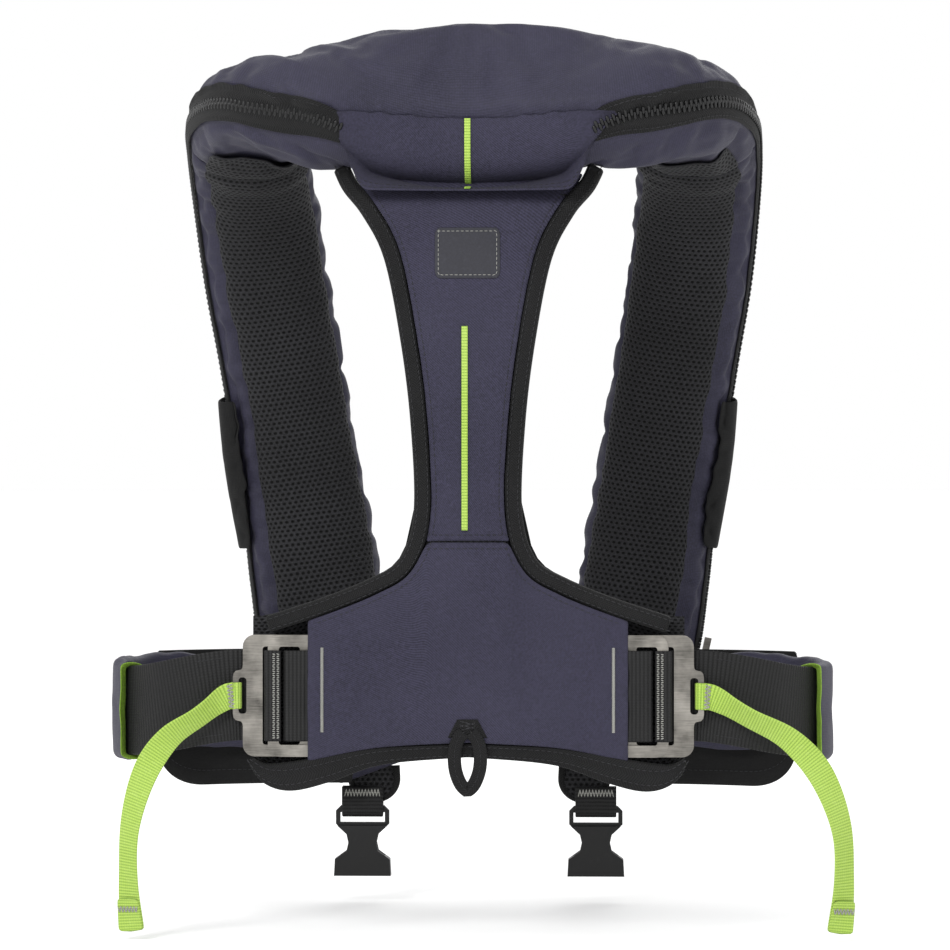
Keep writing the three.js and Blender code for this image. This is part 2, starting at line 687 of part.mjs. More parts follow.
// ---------------------------------------------------------------- lime pull straps
const tabBarX = (tabSlot[1] + outerPlateEnds[1] + tabReach) / 2;
function pullStrap(reach) {
  const y = outerPlateY;
  const r = strapLoopRadius;
  const hook = Array.from({ length: 7 }, (_, i) => {
    const angle = Math.PI / 2 + (i * Math.PI) / 6;
    return new THREE.Vector3(tabBarX + r * Math.cos(angle), y + r * Math.sin(angle), beltHeight);
  });
  const fall = [
    [0.1, -r - 0.3, 0.01], [0.34, -r - 2, 0.09], [0.62, -r - 3, 0.18], [0.84, -r - 3, 0.33],
    [0.98, -r - 2, 0.55], [1, -r - 1, 0.78], [0.97, -r, 1],
  ].map(([share, dy, drop]) => new THREE.Vector3(
    tabBarX + (reach - tabBarX) * share, y + dy, beltHeight - strapHang * drop,
  ));
  const tail = new THREE.Vector3(tabBarX + 6, y + r, beltHeight);
  const hang = new THREE.CatmullRomCurve3([hook[6], ...fall]).getPoints(22).slice(1);
  const path = [tail, ...hook, ...hang];
  return loft(path.map((point, i) => {
    const before = path[Math.max(i - 1, 0)];
    const after = path[Math.min(i + 1, path.length - 1)];
    const along = after.clone().sub(before).normalize();
    const inHook = i <= hook.length;
    const out = inHook ? new THREE.Vector3(along.y, -along.x, 0).normalize() : new THREE.Vector3(0, -1, 0);
    out.addScaledVector(along, -out.dot(along)).normalize();
    const across = new THREE.Vector3().crossVectors(along, out);
    const corner = (u, v) => point.clone().addScaledVector(across, u).addScaledVector(out, v);
    const w = strapWidth / 2;
    const t = strapThickness / 2;
    return [corner(-w, -t), corner(w, -t), corner(w, t), corner(-w, t)];
  }));
}
add("pull_strap_left", mirrored(pullStrap(strapReachLeft), -1), looks.lime);
add("pull_strap_right", pullStrap(strapReachRight), looks.lime);

// ---------------------------------------------------------------- sleeves, linings and waist pads
const mouth = waist.findIndex((point) => point.y > -58);
const sleeveEnd = waist.findIndex((point) => point.y > 0 && point.x < 72);
const padStart = waist.findIndex((point) => point.y > 40);

function lengthAlong(points, start, length) {
  let walked = 0;
  let i = start;
  while (walked < Math.abs(length)) {
    const next = i + Math.sign(length);
    walked += points[next].distanceTo(points[i]);
    i = next;
  }
  return i;
}

function resampled(points, first, last, count) {
  const curve = new THREE.SplineCurve(points.slice(first, last + 1));
  return curve.getSpacedPoints(count);
}

function bandTube(plan, height, depth, wallThickness) {
  const middle = beltMiddle(plan);
  const outerHalf = () => height / 2 + wallThickness;
  const innerHalf = () => height / 2;
  const outer = uprightBand(plan, middle, outerHalf, outerHalf, 0, depth + 2 * wallThickness);
  const inner = uprightBand(plan, middle, innerHalf, innerHalf, 0, depth);
  return loftTube(outer, inner);
}

const liningEnd = lengthAlong(waist, mouth, liningLength - liningShows);
const linedPlan = resampled(waist, mouth, liningEnd, 3);
const sleevePlan = [...linedPlan, ...resampled(waist, liningEnd, sleeveEnd, 12).slice(1)];
const liningStart = waist[mouth].clone().sub(waist[mouth + 1]).normalize().multiplyScalar(liningShows);
const liningPlan = [waist[mouth].clone().add(liningStart), ...linedPlan];
const liningHeight = sleeveInnerHeight - 2 * (2 * gap + liningWall);
const liningDepth = sleeveInnerDepth - 2 * (2 * gap + liningWall);
const waistPadPlan = resampled(waist, padStart, sleeveEnd, 12);
const padShift = sleeveInnerDepth / 2 + sleeveWall + gap + waistPadThickness / 2;

for (const [name, side] of sides) {
  const sleeve = bandTube(sleevePlan, sleeveInnerHeight, sleeveInnerDepth, sleeveWall);
  const lining = bandTube(liningPlan, liningHeight, liningDepth, liningWall);
  const rounding = (i) => Math.sqrt(1 - Math.max(0, 1 - i / 3) ** 2) * 0.55 + 0.45;
  const top = () => waistPadTop;
  const bottom = (i) => waistPadBottom * rounding(i);
  const middle = beltMiddle(waistPadPlan);
  const waistPad = loft(uprightBand(waistPadPlan, middle, top, bottom, -padShift, waistPadThickness));
  add(`sleeve_${name}`, mirrored(sleeve, side), looks.navy);
  add(`sleeve_lining_${name}`, mirrored(lining, side), looks.lime);
  add(`waist_pad_${name}`, mirrored(waistPad, side), looks.black);
}

// ---------------------------------------------------------------- front buckle, on the outside of the belt
const frontZ = beltHeight - beltSideDrop;
const buckleY = [beltFront + webThickness / 2 + gap, beltFront + webThickness / 2 + gap + 11];
const buckleSplit = 8;
const prongReach = 20;
const buckleHalf = webWidth / 2 + 4;
const femaleX = [-24, buckleSplit - gap];
const maleX = [buckleSplit, buckleSplit + 30];
const buckleZ = [frontZ - buckleHalf, frontZ + buckleHalf];
const cavityX = [buckleSplit - prongReach - 4, buckleSplit + 1];
const cavityZ = [buckleZ[0] + 5, buckleZ[1] - 5];
const cavity = box(cavityX, [buckleY[0] + 2.5, buckleY[1] - 2.5], cavityZ);
const female = cut(panel(roundedBox(femaleX, buckleZ, 4), ...buckleY), cavity);
add("front_buckle_female", female, looks.plastic);

function maleBuckle() {
  const outline = roundedBox(maleX, buckleZ, 4);
  const webZ = [frontZ - webWidth / 2, frontZ + webWidth / 2];
  const barSlot = box([maleX[1] - 12, maleX[1] - 8], buckleY, webZ);
  const bar = cut(panel(outline, ...buckleY), barSlot);
  const outerProng = buckleHalf - 7;
  const prongHeights = [[-outerProng, 8 - outerProng], [-4, 4], [outerProng - 8, outerProng]];
  const prongs = prongHeights.map((zs) => toManifold(box(
    [buckleSplit - prongReach, buckleSplit + 2],
    [buckleY[0] + 3.2, buckleY[1] - 3.2],
    [frontZ + zs[0], frontZ + zs[1]],
  )));
  const whole = prongs.reduce((solid, prong) => solid.add(prong), toManifold(bar));
  const { vertProperties, triVerts } = whole.getMesh();
  const result = new THREE.BufferGeometry();
  result.setAttribute("position", new THREE.BufferAttribute(vertProperties, 3));
  result.setIndex(new THREE.BufferAttribute(triVerts, 1));
  return result;
}
add("front_buckle_male", maleBuckle(), looks.plastic);

// Soft loop for a tether, around the belt.
const tetherX = [-44, -27];
function tetherLoop() {
  const halfHeight = webWidth / 2 + gap + 0.7;
  const eyeZ = [frontZ - halfHeight, frontZ + halfHeight];
  const outline = roundedBox([beltFront - 4, beltFront + 24], [eyeZ[0] - 2, eyeZ[1] + 2], 3);
  outline.holes.push(roundedBox([beltFront - 2, beltFront + 22], eyeZ, 2));
  const settings = { depth: tetherX[1] - tetherX[0], bevelEnabled: false, curveSegments: 5 };
  const upright = new THREE.Matrix4().makeBasis(
    new THREE.Vector3(0, 1, 0), new THREE.Vector3(0, 0, 1), new THREE.Vector3(1, 0, 0),
  );
  return new THREE.ExtrudeGeometry(outline, settings).applyMatrix4(upright).translate(tetherX[0], 0, 0);
}
add("tether_loop", tetherLoop(), looks.black);

// ---------------------------------------------------------------- lobe tips and crotch strap buckles
const barSide = 4;                              // the buckle's bar, square
const barMiddle = crotchTop - barSide / 2;
const frameSlot = [crotchTop - barSide - 6, crotchTop - barSide];
const webLoopRadius = 3.3;                      // room for the bar to turn

function lobeTip() {
  const radius = 14.5;
  const neck = 12;
  const middle = new THREE.Vector2(crotchX - 7, crotchTop + 16);
  const shape = new THREE.Shape();
  shape.absarc(middle.x, middle.y, radius, Math.PI, 2 * Math.PI);
  shape.lineTo(middle.x + neck, middle.y + 2);
  shape.lineTo(middle.x + neck, middle.y + 9);
  shape.lineTo(middle.x - neck, middle.y + 9);
  shape.lineTo(middle.x - neck, middle.y + 2);
  return shape;
}

function crotchBuckle() {
  const half = crotchWidth / 2;
  const foot = crotchTop - crotchHeight;
  const ys = [crotchY - crotchDepth / 2, crotchY + crotchDepth / 2];
  const shoulder = [[half - 3, 0], [half, -3], [half, -11]];
  const gripSide = [[9.5, -17], [8.4, -22], [9.5, -27], [half + 0.5, -32], [half + 1, -crotchHeight]];
  const drop = new THREE.Vector2(0, crotchTop);
  const outline = symmetricShape(flat([...shoulder, ...gripSide]).map((point) => point.add(drop)));
  const slot = box([-crotchWeb / 2 - 0.9, crotchWeb / 2 + 0.9], [ys[0] - 1, ys[1] + 1], frameSlot);
  const head = [frameSlot[0] - 2, crotchTop + 1];
  const thinFront = box([-half - 1, half + 1], [crotchY + barSide / 2, ys[1] + 1], head);
  const thinBack = box([-half - 1, half + 1], [ys[0] - 1, crotchY - barSide / 2], head);
  const socket = box([-half + 2.5, half - 2.5], [ys[0] + 2, ys[1] - 2], [foot - 1, foot + 26]);
  return cut(panel(outline, ...ys), slot, thinFront, thinBack, socket);
}

// Webbing sewn round the lobe tip and through the buckle, under its bar.
function crotchWebbing() {
  const r = webLoopRadius + webThickness / 2;
  const top = crotchTop + 12;
  const turn = Array.from({ length: 9 }, (_, i) => {
    const angle = Math.PI + (i * Math.PI) / 8;
    return new THREE.Vector2(crotchY + r * Math.cos(angle), barMiddle + r * Math.sin(angle));
  });
  const path = [new THREE.Vector2(crotchY - r, top), ...turn, new THREE.Vector2(crotchY + r, top)];
  const outer = offset(path, webThickness / 2);
  const inner = offset(path, -webThickness / 2).reverse();
  const ring = (x) => [...outer, ...inner].map((point) => new THREE.Vector3(x, point.x, point.y));
  return loft([ring(-crotchWeb / 2), ring(crotchWeb / 2)]);
}

for (const [name, side] of sides) {
  const tip = panel(lobeTip(), crotchY - webLoopRadius + gap, crotchY + webLoopRadius - gap);
  add(`lobe_tip_${name}`, mirrored(tip, side), looks.mesh);
  add(`crotch_web_${name}`, crotchWebbing().translate(side * crotchX, 0, 0), looks.black);
  add(`crotch_buckle_${name}`, crotchBuckle().translate(side * crotchX, 0, 0), looks.plastic);
}

export default jacket;
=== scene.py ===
"""Looks of the inflatable life jacket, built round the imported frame. Metres; shapes are given in mm."""

from functools import reduce
from math import cos, pi, radians, sin

import bpy
import numpy as np
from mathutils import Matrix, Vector, noise


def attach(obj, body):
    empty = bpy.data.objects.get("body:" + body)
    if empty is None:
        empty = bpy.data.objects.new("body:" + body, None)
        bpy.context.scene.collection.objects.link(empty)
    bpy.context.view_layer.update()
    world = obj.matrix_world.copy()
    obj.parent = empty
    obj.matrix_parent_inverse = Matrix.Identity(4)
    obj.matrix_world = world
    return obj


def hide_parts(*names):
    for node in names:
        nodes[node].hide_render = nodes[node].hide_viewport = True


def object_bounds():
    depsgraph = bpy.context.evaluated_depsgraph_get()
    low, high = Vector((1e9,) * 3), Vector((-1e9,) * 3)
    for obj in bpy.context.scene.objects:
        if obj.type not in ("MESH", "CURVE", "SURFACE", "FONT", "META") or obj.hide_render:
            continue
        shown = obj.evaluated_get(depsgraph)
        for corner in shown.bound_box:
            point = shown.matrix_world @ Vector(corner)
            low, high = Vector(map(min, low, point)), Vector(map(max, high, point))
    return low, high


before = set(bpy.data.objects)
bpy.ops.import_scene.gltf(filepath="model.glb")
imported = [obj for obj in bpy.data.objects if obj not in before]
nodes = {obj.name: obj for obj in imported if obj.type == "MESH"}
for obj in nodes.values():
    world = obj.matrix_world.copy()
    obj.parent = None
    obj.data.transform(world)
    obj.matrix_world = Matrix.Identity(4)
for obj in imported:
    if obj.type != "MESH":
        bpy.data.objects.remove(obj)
cad_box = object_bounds()
MM = 0.001
SIDES = (("left", -1), ("right", 1))
scene = bpy.context.scene
X, Y, Z = np.eye(3)


# ---- materials
def linear(code):
    values = [int(code[i:i + 2], 16) / 255 for i in (0, 2, 4)]
    return tuple(v / 12.92 if v < 0.04045 else ((v + 0.055) / 1.055) ** 2.4 for v in values) + (1,)


def feed(socket, value):
    if isinstance(value, bpy.types.NodeSocket):
        socket.id_data.links.new(value, socket)
    else:
        socket.default_value = value


def shade(kind, inputs, output=0, **settings):
    """The output of a new shader node, in the tree that its inputs come from."""
    tree = next(value.id_data for value in inputs.values() if isinstance(value, bpy.types.NodeSocket))
    made = tree.nodes.new("ShaderNode" + kind)
    for key, value in settings.items():
        setattr(made, key, value)
    for key, value in inputs.items():
        feed(made.inputs[key], value)
    return made.outputs[output]


def math_node(operation, *values):
    return shade("Math", dict(enumerate(values)), operation=operation)


def add(*values):
    return reduce(lambda a, b: math_node("ADD", a, b), values)


def times(*values):
    return reduce(lambda a, b: math_node("MULTIPLY", a, b), values)


def wave(value, period):
    """0 to 1 and back over each period."""
    turned = math_node("SINE", times(value, 2 * pi / period))
    return math_node("MULTIPLY_ADD", turned, 0.5, 0.5)


def ranged(value, low, high, to_low=0.0, to_high=1.0):
    return shade("MapRange", dict(enumerate((value, low, high, to_low, to_high))), clamp=True)


def mixed(factor, first, second):
    return shade("Mix", {0: factor, 6: first, 7: second}, 2, data_type="RGBA")


def speckle(vector, scale, detail=3.0, roughness=0.55):
    inputs = {"Vector": vector, "Scale": scale, "Detail": detail, "Roughness": roughness}
    return shade("TexNoise", inputs, "Fac")


def new_material(name, **sockets):
    material = bpy.data.materials.new(name)
    material.use_nodes = True
    set_sockets(material, **sockets)
    return material


def set_sockets(material, **sockets):
    shader = material.node_tree.nodes["Principled BSDF"]
    for socket, value in sockets.items():
        feed(shader.inputs[socket.replace("_", " ")], value)


def surface_mm(material):
    """Along and across a piece, in mm, with the position in metres."""
    coordinates = material.node_tree.nodes.new("ShaderNodeTexCoord")
    split = material.node_tree.nodes.new("ShaderNodeSeparateXYZ")
    feed(split.inputs[0], coordinates.outputs["UV"])
    return split.outputs[0], split.outputs[1], coordinates.outputs["Object"]


def finish(material, colour, rough, height, depth_mm):
    bump = shade("Bump", {"Strength": 1.0, "Distance": depth_mm * MM, "Height": height})
    set_sockets(material, Base_Color=colour, Roughness=rough, Normal=bump)
    return material


def soiled(place, colour, worn, amount=0.5):
    """Broad fading and small flecks over a colour."""
    broad = ranged(speckle(place, 14, 4), 0.35, 0.75, 0, amount)
    fine = ranged(speckle(place, 420, 2), 0.55, 0.8, 0, amount)
    return mixed(fine, mixed(broad, colour, worn), worn)


def fabric(name, sheen, sheen_rough, specular):
    """A material with a fabric's sheen, and the distances that its weave is drawn over."""
    material = new_material(name, Sheen_Weight=sheen, Sheen_Roughness=sheen_rough,
                            Specular_IOR_Level=specular)
    return (material, *surface_mm(material))


def cloth(name, dark, light, worn, period, diagonal=True, sheen=0.25, depth=0.12, rough=0.82):
    """Woven fabric: threads both ways, with a diagonal where it is twill."""
    material, u, v, place = fabric(name, sheen, 0.45, 0.25)
    warp = wave(u, period)
    weft = wave(v, period)
    lines = wave(add(u, v), 2 * period) if diagonal else times(warp, weft)
    thread = add(times(lines, 0.7), times(add(warp, weft), 0.15))
    fuzz = speckle(place, 850, 3)
    # Painted shade: colour follows the thread waves that also make the bump, so the weave's low places are
    # painted darker; the fuzz adds random grain.
    tone = mixed(ranged(add(times(thread, 0.6), times(fuzz, 1.3)), 0.6, 1.35), dark, light)
    colour = soiled(place, tone, worn, 0.3)
    height = add(thread, times(fuzz, 0.4), times(speckle(place, 90, 3), 1.2))
    return finish(material, colour, ranged(fuzz, 0.3, 0.7, rough - 0.08, rough + 0.08), height, depth)


def webbing(name, dark, light, worn, rib=2.2, sheen=0.15, depth=0.35, rough=0.62):
    """Ribs across the length, each made of slanting picks that alternate."""
    material, u, v, place = fabric(name, sheen, 0.4, 0.3)
    ribs = math_node("ABSOLUTE", math_node("SINE", times(u, pi / rib)))
    pick = wave(add(v, times(ribs, 0.6)), 1.5)
    fuzz = speckle(place, 1300, 2)
    height = add(ribs, times(pick, 0.3), times(fuzz, 0.25))
    # Painted shade: colour follows the bump height, so the grooves between ribs and picks are painted darker.
    tone = mixed(ranged(height, 0.3, 1.4), dark, light)
    colour = soiled(place, tone, worn, 0.3)
    return finish(material, colour, ranged(ribs, 0, 1, rough + 0.15, rough), height, depth)


def herringbone(name, dark, light, worn, depth=0.3, rough=0.7):
    """Tape whose picks slant one way and then the other across its width."""
    material, u, v, place = fabric(name, 0.02, 0.4, 0.2)
    zigzag = math_node("PINGPONG", v, 2.4)
    picks = wave(add(u, zigzag), 1.5)
    fuzz = speckle(place, 1400, 2)
    height = add(picks, times(fuzz, 0.35))
    # Painted shade: colour follows the bump height, so the low places between the picks are painted darker.
    tone = mixed(ranged(height, 0.2, 1.3), dark, light)
    return finish(material, soiled(place, tone, worn, 0.3), rough, height, depth)


def spacer(name, dark, light, worn):
    """Open knit: staggered rows of round holes between raised yarns."""
    material, u, v, place = fabric(name, 0.02, 0.5, 0.25)
    across, along = 3.3, 2.9
    row = math_node("FLOOR", math_node("DIVIDE", u, along))
    shift = times(math_node("MODULO", row, 2.0), across / 2)

    def from_middle(value, size):
        return math_node("SUBTRACT", math_node("FRACT", math_node("DIVIDE", value, size)), 0.5)

    du, dv = from_middle(u, along), from_middle(add(v, shift), across)
    span = math_node("SQRT", add(times(du, du), times(dv, dv)))
    wall = ranged(span, 0.2, 0.4)
    yarn = wave(u, 0.9)
    fuzz = speckle(place, 1300, 2)
    height = add(times(wall, 1.6), times(yarn, 0.15), times(fuzz, 0.3))
    raised = mixed(ranged(add(fuzz, times(yarn, 0.3)), 0.4, 0.9), dark, light)
    # Painted shade: the holes take a much darker copy of the yarn's colour, standing in for the shade inside
    # them.
    hole_shade = tuple(0.25 * c for c in dark[:3]) + (1,)
    colour = mixed(wall, hole_shade, soiled(place, raised, worn, 0.25))
    return finish(material, colour, ranged(wall, 0, 1, 0.95, 0.72), height, 0.6)


def metal(name, dark, light, rough):
    """Satin sheet metal: fine lengthwise scratches, a few deeper ones and dull patches."""
    material = new_material(name, Metallic=1.0)
    place = surface_mm(material)[2]
    grain = speckle(shade("Mapping", {"Vector": place, "Scale": (90, 90, 2600)}), 1.0, 4)
    patches = speckle(place, 60, 4)
    colour = mixed(ranged(add(times(grain, 0.5), patches), 0.5, 1.0), dark, light)
    dulled = ranged(patches, 0.3, 0.7, rough - 0.07, rough + 0.1)
    return finish(material, colour, add(dulled, times(grain, 0.1)), grain, 0.015)


def plastic(name, dark, light, rough=0.45):
    """Moulded plastic: fine grain, handling marks and paler rubbed spots."""
    material = new_material(name, Coat_Weight=0.05, Coat_Roughness=0.4, Specular_IOR_Level=0.35)
    place = surface_mm(material)[2]
    grain = speckle(place, 1900, 2)
    marks = ranged(speckle(place, 160, 5, 0.7), 0.55, 0.72)
    colour = mixed(times(marks, 0.4), dark, light)
    return finish(material, colour, ranged(marks, 0, 1, rough, rough + 0.2), grain, 0.05)


# Each look: what makes it, its name, its colours from dark to worn, the frame's slot, and the rest.
LOOKS = {
    "navy": (cloth, "navy_nylon", "1f1e2b 343245 3e3c50", "navy_fabric", (0.9, False, 0.04, 0.14, 0.62)),
    "twill": (cloth, "navy_twill", "1d1c28 383649 403e50", "navy_fabric", (0.75, True, 0.03, 0.2)),
    "lining": (cloth, "lime_lining", "55761b 88ab33 9bbd55", "lime_lining", (0.7, False, 0.04, 0.08, 0.6)),
    "black": (cloth, "black_pad", "080808 161617 202020", "black_fabric", (0.9, False, 0.02, 0.12)),
    "bladder": (cloth, "coated_bladder", "a9b02a c4cb42 d6da6c", "bladder_fabric",
                (0.6, False, 0.02, 0.05, 0.5)),
    "tape": (herringbone, "black_tape", "060606 1a1a1b 252526", "black_fabric", ()),
    "web": (webbing, "black_webbing", "050505 171718 242424", "black_webbing", (2.2, 0.02)),
    "lime": (webbing, "lime_webbing", "749632 a6c353 b9d07a", "lime_webbing", (1.6, 0.04, 0.22, 0.6)),
    "mesh": (spacer, "spacer_mesh", "08080a 252528 3a3a3e", "spacer_mesh", ()),
    "thread": (webbing, "pale_thread", "6b6b66 a3a39d b9b9b3", "grey_trim", (0.6, 0.03, 0.08)),
    "dark_thread": (webbing, "dark_thread", "0e0e0f 2c2c2f 3a3a3e", "black_fabric", (0.6, 0.03, 0.08)),
    "patch": (cloth, "grey_patch", "232328 33333a 414148", "grey_trim", (0.6, False, 0.02, 0.06, 0.6)),
    "teeth": (plastic, "zip_teeth", "060607 2a2a2c", "black_fabric", (0.3,)),
    "plastic": (plastic, "black_plastic", "0a0a0b 2a2a2c", "black_plastic", ()),
    "steel": (metal, "satin_steel", "54524e a19d96", "steel", (0.3,)),
    "gas": (metal, "gas_steel", "8e9194 c4c6c8", "steel", (0.28,)),
}
looks = {look: make(name, *map(linear, colours.split()), *rest)
         for look, (make, name, colours, slot, rest) in LOOKS.items()}


# ---- curves and meshes
def spline(points, t):
    """Uniform Catmull-Rom through points, at parameters from 0 to their number less one."""
    points = np.asarray(points, float)
    ends = np.vstack([2 * points[0] - points[1], points, 2 * points[-1] - points[-2]])
    t = np.clip(np.asarray(t, float), 0, len(points) - 1)
    i = np.minimum(t.astype(int), len(points) - 2)
    f = (t - i)[:, None]
    a, b, c, d = ends[i], ends[i + 1], ends[i + 2], ends[i + 3]
    return 0.5 * (2 * b + (c - a) * f + (2 * a - 5 * b + 4 * c - d) * f**2 + (3 * b - a - 3 * c + d) * f**3)


def smooth(points, count):
    return spline(points, np.linspace(0, len(points) - 1, count))


def spaced(points, step):
    """The same line with its points evenly spaced."""
    points = np.asarray(points, float)
    walked = lengths(points)
    marks = np.linspace(0, walked[-1], max(3, int(round(walked[-1] / step)) + 1))
    return np.stack([np.interp(marks, walked, points[:, k]) for k in range(points.shape[1])], 1)


def between(first, last, share):
    return first * (1 - share) + last * share


def ease(share):
    """0 to 1 with a soft start and end."""
    share = np.clip(share, 0, 1)
    return share * share * (3 - 2 * share)


def lengths(points):
    return np.concatenate([[0], np.cumsum(np.linalg.norm(np.diff(points, axis=0), axis=1))])


def unit(v):
    return v / np.maximum(np.linalg.norm(v, axis=-1, keepdims=True), 1e-9)


def tangents(points):
    return unit(np.gradient(points, axis=0))


def offset(points, distance):
    """A plan line moved to its left."""
    t = tangents(points)
    return points + distance * np.stack([-t[:, 1], t[:, 0]], 1)


def rough(points, scale, seed):
    """Smooth noise of about -1 to 1 at points in mm."""
    flat = np.asarray(points, float).reshape(-1, 3) * scale + seed * 17.3
    return np.array([noise.noise(Vector(p)) for p in flat]).reshape(np.shape(points)[:-1]) * 1.6


def scene_object(name, data):
    obj = bpy.data.objects.new(name, data)
    scene.collection.objects.link(obj)
    return obj


def mesh_object(name, verts, faces):
    mesh = bpy.data.meshes.new(name)
    mesh.from_pydata(verts, [], faces)
    return scene_object(name, mesh)


def piece(name, verts, faces, uvs, look, slot=None, node=None, body="jacket"):
    """A visible piece that rides on a body; node is the frame's piece that it stands for."""
    obj = mesh_object(name, (np.asarray(verts) * MM).tolist(), faces)
    mesh = obj.data
    layer = mesh.uv_layers.new(name="mm")
    layer.data.foreach_set("uv", np.asarray(uvs, np.float32).ravel())
    mesh.materials.append(looks[look])
    mesh.polygons.foreach_set("use_smooth", [True] * len(mesh.polygons))
    mesh.update()
    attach(obj, body)
    if node:
        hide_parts(node)
    return obj


def modifier(obj, kind, **values):
    made = obj.modifiers.new(kind.lower(), kind)
    for key, value in values.items():
        setattr(made, key, value)
    return obj


def grid_faces(rows, columns, wrap):
    """Faces of a grid and, for each of their corners, its row and column."""
    i, j = np.meshgrid(np.arange(rows - 1), np.arange(columns if wrap else columns - 1), indexing="ij")
    i, j = i.ravel(), j.ravel()
    corner_rows = np.stack([i, i, i + 1, i + 1], 1)
    corner_columns = np.stack([j, j + 1, j + 1, j], 1)
    faces = corner_rows * columns + corner_columns % columns
    return faces, corner_rows, corner_columns


def skin(name, grid, u, v, look, thickness=0, levels=1, wrap=False, flip=True, **extra):
    """A sheet over a grid of points. u and v are its distances along and across, in mm."""
    rows, columns = grid.shape[:2]
    faces, cr, cc = grid_faces(rows, columns, wrap)
    uvs = np.stack([np.asarray(u)[cr], np.asarray(v)[cc]], -1)
    if flip:
        faces, uvs = faces[:, ::-1], uvs[:, ::-1]
    obj = piece(name, grid.reshape(-1, 3), faces.tolist(), uvs.reshape(-1, 2), look, **extra)
    if thickness:
        modifier(obj, "SOLIDIFY", thickness=thickness * MM, offset=-1)
    if levels:
        modifier(obj, "SUBSURF", levels=levels, render_levels=levels)
    return obj


def loft(name, rings, v, look, u=None, levels=0, **extra):
    """A closed solid through rings of points. v has one value more than a ring has points."""
    rows, columns = rings.shape[:2]
    faces, cr, cc = grid_faces(rows, columns, True)
    if u is None:
        u = lengths(rings.mean(1))
    uvs = np.stack([np.asarray(u)[cr], np.asarray(v)[cc]], -1).reshape(-1, 2)
    first = list(range(columns))[::-1]
    last = [(rows - 1) * columns + k for k in range(columns)]
    caps = [[(u[0], v[k]) for k in first], [(u[-1], v[k]) for k in range(columns)]]
    faces = faces.tolist() + [first, last]
    uvs = np.vstack([uvs, *caps])
    flat = rings.reshape(-1, 3)
    a, b, c = (flat[[f[k] for f in faces]] for k in (0, 1, 2))
    centre = flat.mean(0)
    if np.einsum("ij,ij->", a - centre, np.cross(b - centre, c - centre)) < 0:
        sizes = [len(f) for f in faces]
        starts = np.cumsum([0] + sizes[:-1])
        order = np.concatenate([np.arange(s, s + n)[::-1] for s, n in zip(starts, sizes)])
        faces = [f[::-1] for f in faces]
        uvs = uvs[order]
    obj = piece(name, flat, faces, uvs, look, **extra)
    if levels:
        modifier(obj, "SUBSURF", levels=levels, render_levels=levels)
    return obj


def section(width, depth, radius, across=8, corner=3):
    """A rounded rectangle as a ring, with the distance round it."""
    radius = min(radius, width / 2, depth / 2)
    ring = []
    for k, (cx, cy) in enumerate(((1, 1), (-1, 1), (-1, -1), (1, -1))):
        middle = np.array([cx * (width / 2 - radius), cy * (depth / 2 - radius)])
        for step in range(corner + 1):
            angle = pi / 2 * (k + step / corner)
            ring.append(middle + radius * np.array([cos(angle), sin(angle)]))
        if k in (0, 2):
            reach = (width / 2 - radius) * (1 if k == 0 else -1)
            for x in np.linspace(reach, -reach, across + 1)[1:-1]:
                ring.append(np.array([x, cy * depth / 2]))
    ring = np.array(ring)
    return ring, lengths(np.vstack([ring, ring[:1]]))


def swept(path, across, out, ring):
    """The ring drawn at each point of the path."""
    return path[:, None] + across[..., None, :] * ring[None, :, :1] + out[:, None] * ring[None, :, 1:]


def band(name, path, across, width, depth, look, radius=None, columns=8, taper=1.0, **extra):
    """A strap or tape along a path; across is the direction of its width, and taper scales it."""
    path = np.asarray(path, float)
    across = unit(np.broadcast_to(np.asarray(across, float), path.shape))
    along = tangents(path)
    across = unit(across - along * np.einsum("ij,ij->i", across, along)[:, None])
    out = np.cross(along, across)
    ring, v = section(width, depth, depth * 0.48 if radius is None else radius, columns)
    widths = ring[None, :, :1] * np.broadcast_to(taper, (len(path),))[:, None, None]
    rings = path[:, None] + across[:, None] * widths + out[:, None] * ring[None, :, 1:]
    return loft(name, rings, v, look, u=lengths(path), **extra)


def stitches(name, path, out, pitch=3.3, length=2.3, thick=0.5, look="dark_thread", **extra):
    """A row of sewn stitches along a path, each a small rounded bar lying on the surface."""
    line = spaced(path, pitch)
    out = np.broadcast_to(np.asarray(out, float), np.asarray(path).shape)
    marks, walked = lengths(line), lengths(np.asarray(path, float))
    outs = unit(np.stack([np.interp(marks, walked, out[:, k]) for k in range(3)], 1))
    return bars(name, line, tangents(line), outs, length, thick, look, **extra)


def alternate(count):
    """1 and -1 in turn."""
    return np.where(np.arange(count) % 2 == 0, 1, -1)[:, None]


def bars(name, centres, along, outs, length, thick, look, flat=0.6, **extra):
    """Small rounded bars at centres, lying along a direction."""
    sides = np.cross(along, outs)
    shape = [(-0.5, 0.45), (-0.3, 1), (0.3, 1), (0.5, 0.45)]
    angles = np.linspace(0, 2 * pi, 6, endpoint=False)
    verts, faces, uvs = [], [], []
    for centre, t, s, n in zip(centres, along, sides, outs):
        base = len(verts)
        for share, grow in shape:
            for a in angles:
                round_ = s * cos(a) + n * sin(a) * flat
                verts.append(centre + t * share * length + round_ * thick / 2 * grow)
        for k in range(len(shape) - 1):
            for j in range(6):
                m = (j + 1) % 6
                low, high = base + k * 6, base + (k + 1) * 6
                faces.append([low + j, high + j, high + m, low + m])
                uvs += [(k, j), (k + 1, j), (k + 1, j + 1), (k, j + 1)]
        faces.append([base + j for j in range(6)])
        faces.append([base + 18 + j for j in reversed(range(6))])
        uvs += [(0, j) for j in range(6)] + [(3, j) for j in range(6)]
    return piece(name, verts, faces, uvs, look, **extra)


